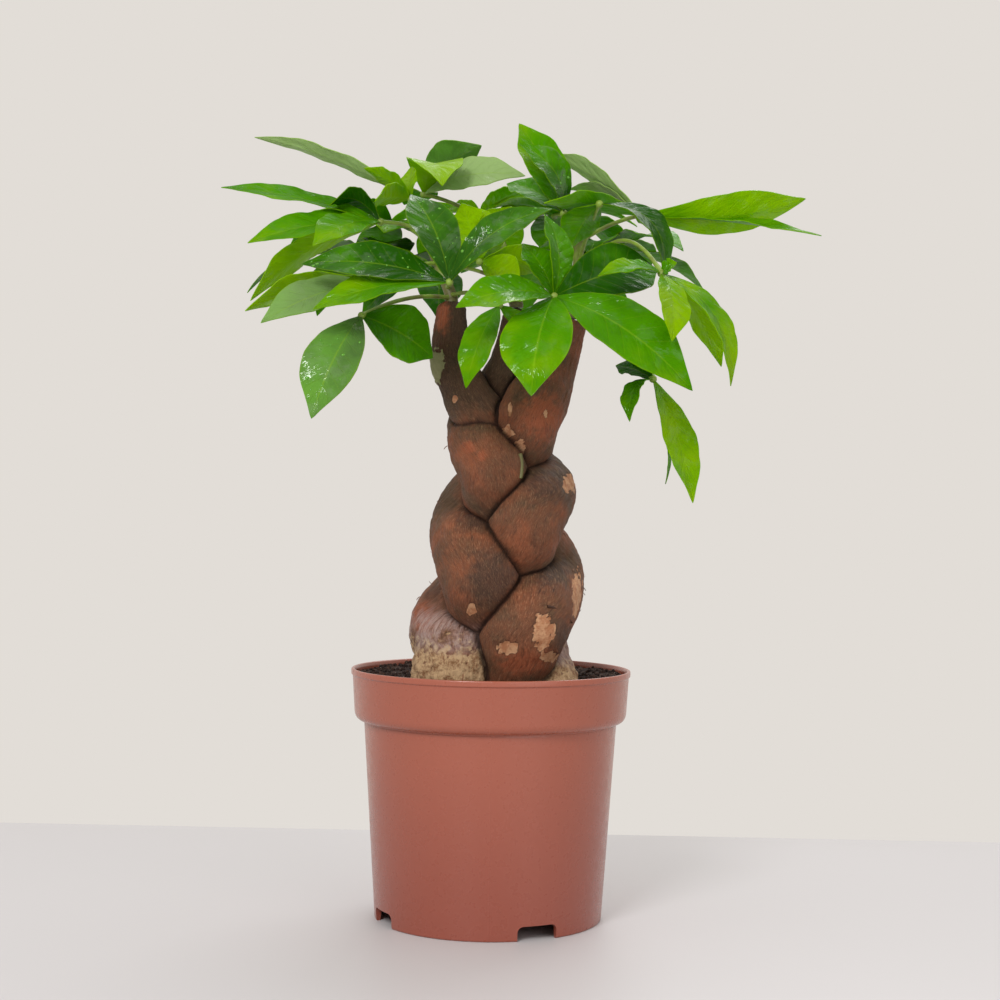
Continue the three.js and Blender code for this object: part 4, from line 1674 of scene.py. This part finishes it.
@dataclass
class Fan:
    """Rule for the leaflets of a leaf on the back, fanned round the way its hub points."""

    leaflets: int = 6
    spread: float = 54
    longest: float = 70
    widest: float = 28
    droop: float = -6
    dive: float = -14

    def leaflets_for(self, azimuth: float, roll: Callable[[], float], tone: Tone) -> list[Leaflet]:
        """Draw the leaflets of one leaf, in the same order as the solids were drawn.

        Args:
            azimuth: The way the leaf points, in degrees.
            roll: Source of random numbers.
            tone: Look of its leaflets.

        Returns:
            The leaflets.
        """
        made = []
        half = (self.leaflets - 1) / 2
        for k in range(self.leaflets):
            place = k - half
            heading = math.radians(azimuth + place * self.spread + (roll() - 0.5) * 14)
            inward = abs(place) / half
            length = self.longest * (1 - 0.38 * inward) * (0.9 + 0.2 * roll())
            pitch = math.radians(self.droop + self.dive * (1 - inward) + (roll() - 0.5) * 22)
            flat = length * math.cos(pitch)
            tip = np.array([flat * math.cos(heading), flat * math.sin(heading), length * math.sin(pitch)])
            width = self.widest * (0.85 + 0.3 * roll())
            made.append(Leaflet(tip, width, (roll() - 0.5) * 24, 0.09 + 0.08 * roll(), tone))
        return made


@dataclass
class Foliage:
    """All the palmate leaves, each laid where its solid lies."""

    plans: list[LeafPlan]
    shoots: Shoots
    blade: Blade = field(default_factory=Blade)
    stalk_radius: float = 1.3
    stalk_rise: float = 0.12
    slimmer: float = 0.85
    hub_radius: float = 2.0
    match: float = 0.06
    drop_area: float = 60
    drop_seed: int = 907

    def build(self, blade: Material, stalk: Material, water: Material) -> None:
        """Build and dress every leaf, with drops on those that are wet.

        Args:
            blade: Material of the leaflets.
            stalk: Material of the stalks.
            water: Material of the drops.
        """
        roll = dice(self.drop_seed)
        for plan in self.plans:
            corners = points_of(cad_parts[f"leaf_{plan.name}"])
            leaflets = self.settled(plan, corners)
            pieces = [self.blade.build(f"{plan.name}_{k}", plan.hub, one) for k, one in enumerate(leaflets)]
            for piece in pieces:
                dress(piece, blade)
            stem = self.stalk(plan, corners)
            dress(stem, stalk)
            palm = join([*pieces, stem], f"palmate_{plan.name}")
            smooth(palm, 50)
            finish_piece(palm, Slot.LEAF, f"leaf_{plan.name}")
            wet = [one for one in leaflets if one.wet]
            if wet:
                drops = self.sprinkle(plan, wet, roll)
                smooth(drops, 80)
                dress(drops, water)
                finish_piece(drops, Slot.LEAF)

    def settled(self, plan: LeafPlan, corners: Array) -> list[Leaflet]:
        """Find how all the leaflets of a leaf lie in its solid.

        Args:
            plan: The leaf as planned.
            corners: The corners of its solid.

        Returns:
            The leaflets that the solid has.
        """
        tree = kdtree.KDTree(len(corners))
        for k, corner in enumerate(corners):
            tree.insert(corner, k)
        tree.balance()
        return [found for leaflet in plan.leaflets if (found := self.settle(plan.hub, leaflet, tree))]

    def settle(self, hub: Array, leaflet: Leaflet, tree: kdtree.KDTree) -> Leaflet | None:
        """Find which way a leaflet gave way in the solid, by where its tip is.

        Args:
            hub: Where the leaflets meet.
            leaflet: The leaflet as planned.
            tree: The corners of the leaf's solid.

        Returns:
            The leaflet as it lies, or None if it was left out for want of room.
        """
        along, face, side = self.blade.axes(leaflet.tip, leaflet.roll)
        length = np.linalg.norm(leaflet.tip)
        for size in (1, 0.85, 0.7):
            for rise, swing in bends(5, 0.13):
                tip = unit(along + face * rise + side * swing) * length * size
                _, _, gap = tree.find(self.blade.tip_corner(hub, tip, leaflet.roll))
                if gap < self.match:
                    return replace(leaflet, tip=tip)
        return None

    def stalk(self, plan: LeafPlan, corners: Array) -> Object:
        """Build a leaf's stalk with its swollen ends and hub, bowed as its solid is.

        Args:
            plan: The leaf.
            corners: The corners of its solid, most of which lie on the stalk where the bow is right.

        Returns:
            The stalk and the hub as one object.
        """
        root = self.shoots.point_at(plan.shoot, plan.up)
        chord = plan.hub - root
        across = unit(np.cross(chord, UP))
        natural = (root + plan.hub) / 2
        own_rise = np.linalg.norm(chord) * self.stalk_rise
        t = np.linspace(0, 1, 31)[:, None]
        best, course = -1, np.empty(0)
        for rise, swing in bends(8, 6):
            bend = natural + UP * (own_rise + rise) + across * swing
            trial = (1 - t) ** 2 * root + 2 * t * (1 - t) * bend + t ** 2 * plan.hub
            away = np.linalg.norm(corners[:, None] - trial[None, 4:-4], axis=2).min(axis=1)
            count = int((np.abs(away - self.stalk_radius) < 0.2).sum())
            if count > best:
                best, course = count, trial
        share = np.linspace(0, 1, len(course))
        swell = 1.1 * np.exp(-(share / 0.05) ** 2) + 1.0 * np.exp(-((1 - share) / 0.035) ** 2)
        radii = self.stalk_radius * self.slimmer + swell
        stem = Rod().build(f"{plan.name}_stalk", course, radii, 0.25 * (1 - share))
        deselect_all()
        bpy.ops.mesh.primitive_uv_sphere_add(segments=16, ring_count=8, radius=self.hub_radius * MM)
        knob = bpy.context.object
        place_points(knob, points_of(knob) + plan.hub)
        add_measure(knob, "woody", np.zeros(len(knob.data.vertices)))
        return join([stem, knob], f"{plan.name}_stalk")

    def sprinkle(self, plan: LeafPlan, wet: list[Leaflet], roll: Callable[[], float]) -> Object:
        """Lay drops of water on the wet leaflets of a leaf.

        Args:
            plan: The leaf.
            wet: Its wet leaflets, as they lie.
            roll: Source of random numbers.

        Returns:
            All the drops as one object.
        """
        deselect_all()
        bpy.ops.mesh.primitive_ico_sphere_add(subdivisions=2, radius=1 * MM)
        bead = bpy.context.object
        spots = []
        for leaflet in wet:
            for _ in range(int(leaflet.width * np.linalg.norm(leaflet.tip) / self.drop_area)):
                t = np.array([0.12 + 0.82 * roll()])
                across = np.array([(roll() - 0.5) * 1.7])
                size = 0.25 + 0.7 * roll() ** 3
                point, face = self.blade.surface(plan.hub, leaflet, across, t)
                side, _ = self.blade.surface(plan.hub, leaflet, across + 0.02, t)
                ahead, _ = self.blade.surface(plan.hub, leaflet, across, t + 0.01)
                normal = unit(np.cross((ahead - point)[0], (side - point)[0]))
                normal = normal if normal @ face > 0 else -normal
                turn = np.array(Vector((0, 0, 1)).rotation_difference(Vector(normal)).to_matrix())
                place = point[0] + normal * (self.blade.skin / 2)
                spots.append((place, turn @ np.diag([size * (0.8 + 0.5 * roll()), size, size * 0.5])))
        return scatter(f"drops_{plan.name}", bead, spots)


def leaf(name: str, shoot: str, up: float, hub: Sequence[float], *leaflets: tuple) -> LeafPlan:
    """Plan a leaf from listed numbers.

    Args:
        name: Name of the leaf.
        shoot: The shoot that it grows from.
        up: Share of the shoot's length below it.
        hub: Where its leaflets meet.
        leaflets: (x, y, z, width, roll, arch, tone) and, if it is wet, True.

    Returns:
        The plan, with the waves of its leaflets still to be drawn.
    """
    blades = [Leaflet(np.array(one[:3], dtype=float), *one[3:7], wet=len(one) > 7) for one in leaflets]
    return LeafPlan(name, shoot, up, np.array(hub, dtype=float), blades)


DARK, GREEN, LEAF, BRIGHT, LIME = Tone.DARK, Tone.GREEN, Tone.LEAF, Tone.BRIGHT, Tone.LIME
YELLOW, PALE, SILVER = Tone.YELLOW, Tone.PALE, Tone.SILVER
GLOSSY, MISTED = Tone.GLOSSY, Tone.MISTED


def front_leaves() -> list[LeafPlan]:
    """Return the leaves that face the front and both sides."""
    return [
        leaf("front_right", "right", 0.15, (29, -82, 324),
             (-11, -24, -51, 36, -6, 0.13, BRIGHT), (67, -18, -47, 32, 54, 0.13, LEAF),
             (54, 38, 19, 32, 56, 0.12, DARK), (-5, 20, 44, 21, 36, 0.12, GREEN, True),
             (-16, 8, 27, 20, -28, 0.1, GREEN, True), (-48, -16, -8, 24, -42, 0.12, BRIGHT, True)),
        leaf("front_left", "left", 0.2, (-23, -76, 331),
             (-75, 14, 10, 27, -46, 0.08, DARK, True), (-67, -6, -15, 24, -40, 0.08, BRIGHT),
             (-21, 20, 47, 27, -18, 0.12, GLOSSY, True), (53, 4, 33, 20, 54, 0.16, GLOSSY, True)),
        leaf("middle", "left", 0.12, (2, -58, 322),
             (-16, -24, -44, 18, -14, 0.1, BRIGHT), (15, 12, -22, 18, 70, 0.1, BRIGHT)),
        leaf("right_high", "right", 0.7, (76, -20, 375),
             (89, 10, 12, 25, -48, -0.1, YELLOW), (94, -10, -11, 20, 18, 0.02, BRIGHT),
             (5, -26, -13, 14, 4, 0.1, BRIGHT), (-52, -34, 0, 18, 20, 0.05, BRIGHT),
             (-49, 60, 44, 18, 42, 0.05, PALE), (-36, 64, 25, 16, 28, 0.06, PALE)),
        leaf("upright", "right", 0.88, (35, -30, 374),
             (-24, 6, 48, 24, -52, 0.08, BRIGHT), (-28, -28, 18, 22, -70, 0.22, GREEN, True),
             (-30, 22, 19, 22, -32, 0.1, GREEN)),
        leaf("left_high", "left", 0.75, (-62, -12, 371),
             (-85, -2, 17, 20, -30, 0.04, LEAF), (-67, -26, -16, 24, -36, 0.06, BRIGHT),
             (-32, -38, -19, 24, -24, 0.1, BRIGHT), (-26, -14, 6, 15, 30, 0.35, DARK),
             (-70, 8, -42, 22, 22, 0.1, YELLOW)),
        leaf("left_tip", "left", 0.9, (-46, -14, 383),
             (-25, -2, 16, 15, 26, 0.06, YELLOW), (0, 8, 19, 14, -48, 0.06, YELLOW),
             (-18, -16, -4, 18, 36, 0.1, YELLOW), (-89, 38, 40, 16, 28, 0.05, PALE)),
        leaf("top_centre", "centre", 0.9, (-41, 26, 393),
             (32, -12, 25, 28, -28, 0.14, MISTED, True), (56, -26, 6, 24, 54, 0.12, PALE),
             (12, -52, -12, 30, 0, 0.26, YELLOW), (-13, 40, 1, 26, 12, 0.1, GREEN)),
        leaf("right_arch", "right", 0.5, (53, -42, 377),
             (21, -4, -49, 22, 32, 0.32, DARK), (-17, 22, -9, 24, 6, 0.1, BRIGHT)),
        leaf("right_low", "right", 0.18, (82, -82, 336),
             (3, -26, -36, 18, -22, 0.12, YELLOW), (35, 2, -55, 18, 42, 0.2, LIME),
             (34, 32, -43, 20, 2, 0.08, YELLOW), (7, -4, 5, 10, 58, 0.1, BRIGHT),
             (-32, -10, -3, 13, -34, 0.14, BRIGHT)),
        leaf("right_hanging", "right", 0.05, (82, -40, 287),
             (19, -22, -64, 20, 8, 0.06, LIME), (8, 10, -54, 15, 68, 0.08, GREEN),
             (-13, -16, -23, 13, 6, 0.25, BRIGHT), (-20, -8, 6, 17, 26, 0.1, DARK)),
        leaf("left_low", "left", 0.1, (-68, -56, 316),
             (-22, -26, -54, 29, -30, 0.12, MISTED, True), (36, 12, -20, 33, 66, 0.1, GREEN)),
        leaf("left_mid", "left", 0.45, (-63, -34, 335),
             (-66, -10, -16, 24, 26, 0.08, YELLOW), (-54, -38, -25, 25, -36, 0.08, SILVER)),
        leaf("centre_back", "centre", 0.5, (-9, -8, 351),
             (-10, -2, 31, 28, 56, 0.05, YELLOW), (17, 6, 31, 24, -62, 0.06, YELLOW),
             (22, -12, -16, 24, -72, 0.06, YELLOW), (40, 8, -2, 22, -38, 0.06, YELLOW)),
    ]


# Leaves on the back: shoot, how far up it, azimuth of the hub, its reach and its height.
BACK_LEAVES = {
    "back_1": ("right", 0.4, 36, 78, 366, GREEN),
    "back_2": ("right", 0.78, 62, 70, 388, BRIGHT),
    "back_3": ("centre", 0.3, 70, 92, 364, GREEN),
    "back_4": ("centre", 0.7, 98, 74, 390, YELLOW),
    "back_5": ("centre", 0.15, 112, 96, 360, DARK),
    "back_6": ("left", 0.6, 138, 80, 380, BRIGHT),
    "back_7": ("left", 0.3, 152, 84, 360, GREEN),
}


def all_leaves() -> list[LeafPlan]:
    """Plan every leaf, with the random draws made in the same order as for the solids.

    Returns:
        The plans, those of the front first.
    """
    roll = dice(7)
    fan = Fan()
    plans = front_leaves()
    for name, (shoot, up, azimuth, reach, height, tone) in BACK_LEAVES.items():
        turn = math.radians(azimuth)
        hub = np.array([reach * math.cos(turn), reach * math.sin(turn), height])
        plans.append(LeafPlan(name, shoot, up, hub, fan.leaflets_for(azimuth, roll, tone)))
    for plan in plans:
        for leaflet in plan.leaflets:
            leaflet.phase = 6.3 * roll()
    return plans


def plaited_stems() -> list[Stem]:
    """Return the three stems of the braid."""
    return [
        Stem("left", 228.5, (152, 229),
             [(97, -21, -6, 22), (120, -21, -8, 22.5), (131, -20, -10, 23), (141, -18.5, -4, 22.5)],
             [(237, 18, 13, 18.5), (244, 12, 11, 17), (251, 6.5, 5, 15.5), (258, 1, -2, 15),
              (265, -5, -8, 15), (276, -13, -10, 13.5), (288, -18.5, -9, 12), (302, -23.5, -5, 10.8),
              (326, -24, -2, 8), (331, -24.5, -1.5, 7.4)],
             cork=146, dusk=(262, 276),
             patches=[Patch(LICHEN, -31, 294, (5, 9)), Patch(PEEL, 41, 233, (4.5, 5.5)),
                      Patch(PEEL, -21, 276, (1.6, 2.2)), Patch(RUST, -38, 160, (8, 10)),
                      Patch(RUST, -29, 322, (5, 10)), Patch(DIM, 29, 233, (15, 14)),
                      Patch(DIM, -33, 176, (8, 7))]),
        Stem("centre", 171, (150, 243),
             [(97, 6, -4, 15), (118, 7, -5, 16), (130, 9, -9, 18), (141, 14, -14, 20.5)],
             [(249, -6, -14, 17.5), (256, -9.5, -6, 15.5), (263, -11, 3, 14.5), (270, -8, 9, 14.5),
              (278, -2, 8, 13.5), (286, 3.5, 2, 13), (294, 7, -2, 11.5), (310, 9.5, 1, 8.5),
              (328, 11, 5, 6.5)],
             dusk=(256, 270),
             patches=[Patch(PEEL, 46, 172, (3.5, 15)), Patch(PEEL, 27, 155, (6, 11)),
                      Patch(PEEL, 9, 147, (6, 3.6)), Patch(PEEL, 31, 142, (5, 3)),
                      Patch(RUST, -13, 251, (4, 3.4)), Patch(RUST, -6, 246, (2.6, 2.6)),
                      Patch(RUST, 16, 139, (14, 7)), Patch(DIM, 31, 186, (12, 11)),
                      Patch(DIM, 38, 152, (5, 12))]),
        Stem("right", 286, (142, 270),
             [(97, 30, -3, 18), (114, 30, -4, 19), (124, 28, -2, 20), (133, 23, 7, 20.5)],
             [(278, 23.5, -10, 17), (288, 28, -3, 14.5), (302, 33, 1, 12.5), (322, 39, 2, 11)],
             cork=138,
             patches=[Patch(PEEL, 7, 259, (3.6, 3.2)), Patch(PEEL, 13.5, 250, (3, 6)),
                      Patch(PEEL, -10.5, 166, (2.8, 3.6)), Patch(RUST, 25, 268, (12, 14)),
                      Patch(PEEL, 8, 271, (1.2, 3.4)), Patch(PEEL, 27, 269, (1, 2)),
                      Patch(DIM, 1, 182, (17, 20)), Patch(DIM, -10, 215, (11, 9))]),
    ]


SHOOT_PATHS = {
    "left": [(-24, -2, 326), (-24, -2, 332), (-30, 1, 348), (-38, 2, 366), (-42, 0, 382)],
    "centre": [(11, 5, 328), (11, 5, 334), (9, 14, 348), (3, 24, 364), (0, 32, 380)],
    "right": [(41, 2, 322), (41, 2, 328), (44, 0, 344), (43, -4, 362), (39, -8, 378)],
}


# ---- Studio --------------------------------------------------------------------------------


@dataclass
class Studio:
    """Pale floor, soft lights and the camera."""

    eye: tuple[float, float, float] = (3.65, -961, 215.9)
    focal_pixels: float = 1781.7
    image_pixels: float = 1000
    tilt_up: float = 0.0082
    roll: float = 0.0134
    floor_width: float = 3600
    floor_back: float = 251
    floor_front: float = 2200
    floor_turn: float = -0.037
    floor_colour: tuple = srgb(198, 196, 198)
    sky_colour: tuple = srgb(226, 221, 215)
    sky_strength: float = 1.0
    lights: tuple = (
        ("key", (-500, -1200, 1000), 450, 12.5),
        ("fill", (700, -1100, 500), 900, 3.0),
        ("back", (300, 800, 1200), 800, 7.0),
    )
    aim: tuple[float, float, float] = (0, 0, 230)

    def build(self) -> None:
        """Set up the floor, the lights, the sky and the camera."""
        self.add_floor()
        for name, place, size, power in self.lights:
            self.add_light(name, place, size, power)
        self.add_sky()
        self.add_camera()

    def add_floor(self) -> None:
        """Add the plain floor, whose back edge is turned a little."""
        deselect_all()
        bpy.ops.mesh.primitive_plane_add(size=2)
        floor = bpy.context.object
        floor.name = "floor"
        middle = (self.floor_back - self.floor_front) / 2
        points = np.array([(x * self.floor_width / 2, middle + y * (self.floor_back - middle), 0)
                           for x, y, _ in points_of(floor) * MM])
        turn = np.array(Matrix.Rotation(self.floor_turn, 3, "Z"))
        place_points(floor, points @ turn.T)
        material, graph, shader = new_material("floor_paint")
        graph.feed(shader, "Base Color", self.floor_colour)
        graph.feed(shader, "Roughness", 0.5)
        dress(floor, material)

    def add_sky(self) -> None:
        """Add the even light that is also the wall behind."""
        world = bpy.data.worlds.new("soft_sky")
        world.use_nodes = True
        sky = next(n for n in world.node_tree.nodes if n.type == "BACKGROUND")
        sky.inputs["Color"].default_value = self.sky_colour
        sky.inputs["Strength"].default_value = self.sky_strength
        bpy.context.scene.world = world
        bpy.context.scene.view_settings.view_transform = "Standard"

    def add_light(self, name: str, place: tuple, size: float, power: float) -> None:
        """Add one soft square light that faces the plant.

        Args:
            name: Its name.
            place: Where it stands, in millimetres.
            size: Its width, in millimetres.
            power: Its power, in watts.
        """
        lamp = bpy.data.lights.new(name, "AREA")
        lamp.size = size * MM
        lamp.energy = power
        light = bpy.data.objects.new(name, lamp)
        light.location = Vector(place) * MM
        light.rotation_euler = (Vector(self.aim) - Vector(place)).to_track_quat("-Z", "Y").to_euler()
        bpy.context.collection.objects.link(light)

    def add_camera(self) -> None:
        """Add the camera at the photograph's viewing angle."""
        lens = bpy.data.cameras.new("camera")
        lens.lens = self.focal_pixels / self.image_pixels * lens.sensor_width
        camera = bpy.data.objects.new("camera", lens)
        forward = Vector((0, math.cos(self.tilt_up), math.sin(self.tilt_up)))
        level = Vector((0, -math.sin(self.tilt_up), math.cos(self.tilt_up)))
        side = Vector((1, 0, 0))
        right = side * math.cos(self.roll) + level * math.sin(self.roll)
        top = level * math.cos(self.roll) - side * math.sin(self.roll)
        turn = Matrix((right, top, -forward)).transposed().to_4x4()
        camera.matrix_world = Matrix.Translation(Vector(self.eye) * MM) @ turn
        bpy.context.collection.objects.link(camera)
        bpy.context.scene.camera = camera


def main() -> None:
    """Build the potted tree and its studio."""
    logging.basicConfig(level=logging.INFO, format="%(message)s")
    bark, green = Bark().material(), GreenStem().material()
    pot = Pot()
    pot.build(PotPlastic())
    Soil(pot).build(SoilFinish())
    braid = Braid(plaited_stems())
    braid.build(bark)
    GREEN_STUB.build(braid, green)
    DRY_ROOT.build(braid, bark)
    shoots = Shoots(SHOOT_PATHS)
    shoots.build(green)
    Foliage(all_leaves(), shoots).build(LeafFinish().material(), green, WaterFinish().material())
    Studio().build()


if __name__ == "__main__":
    main()
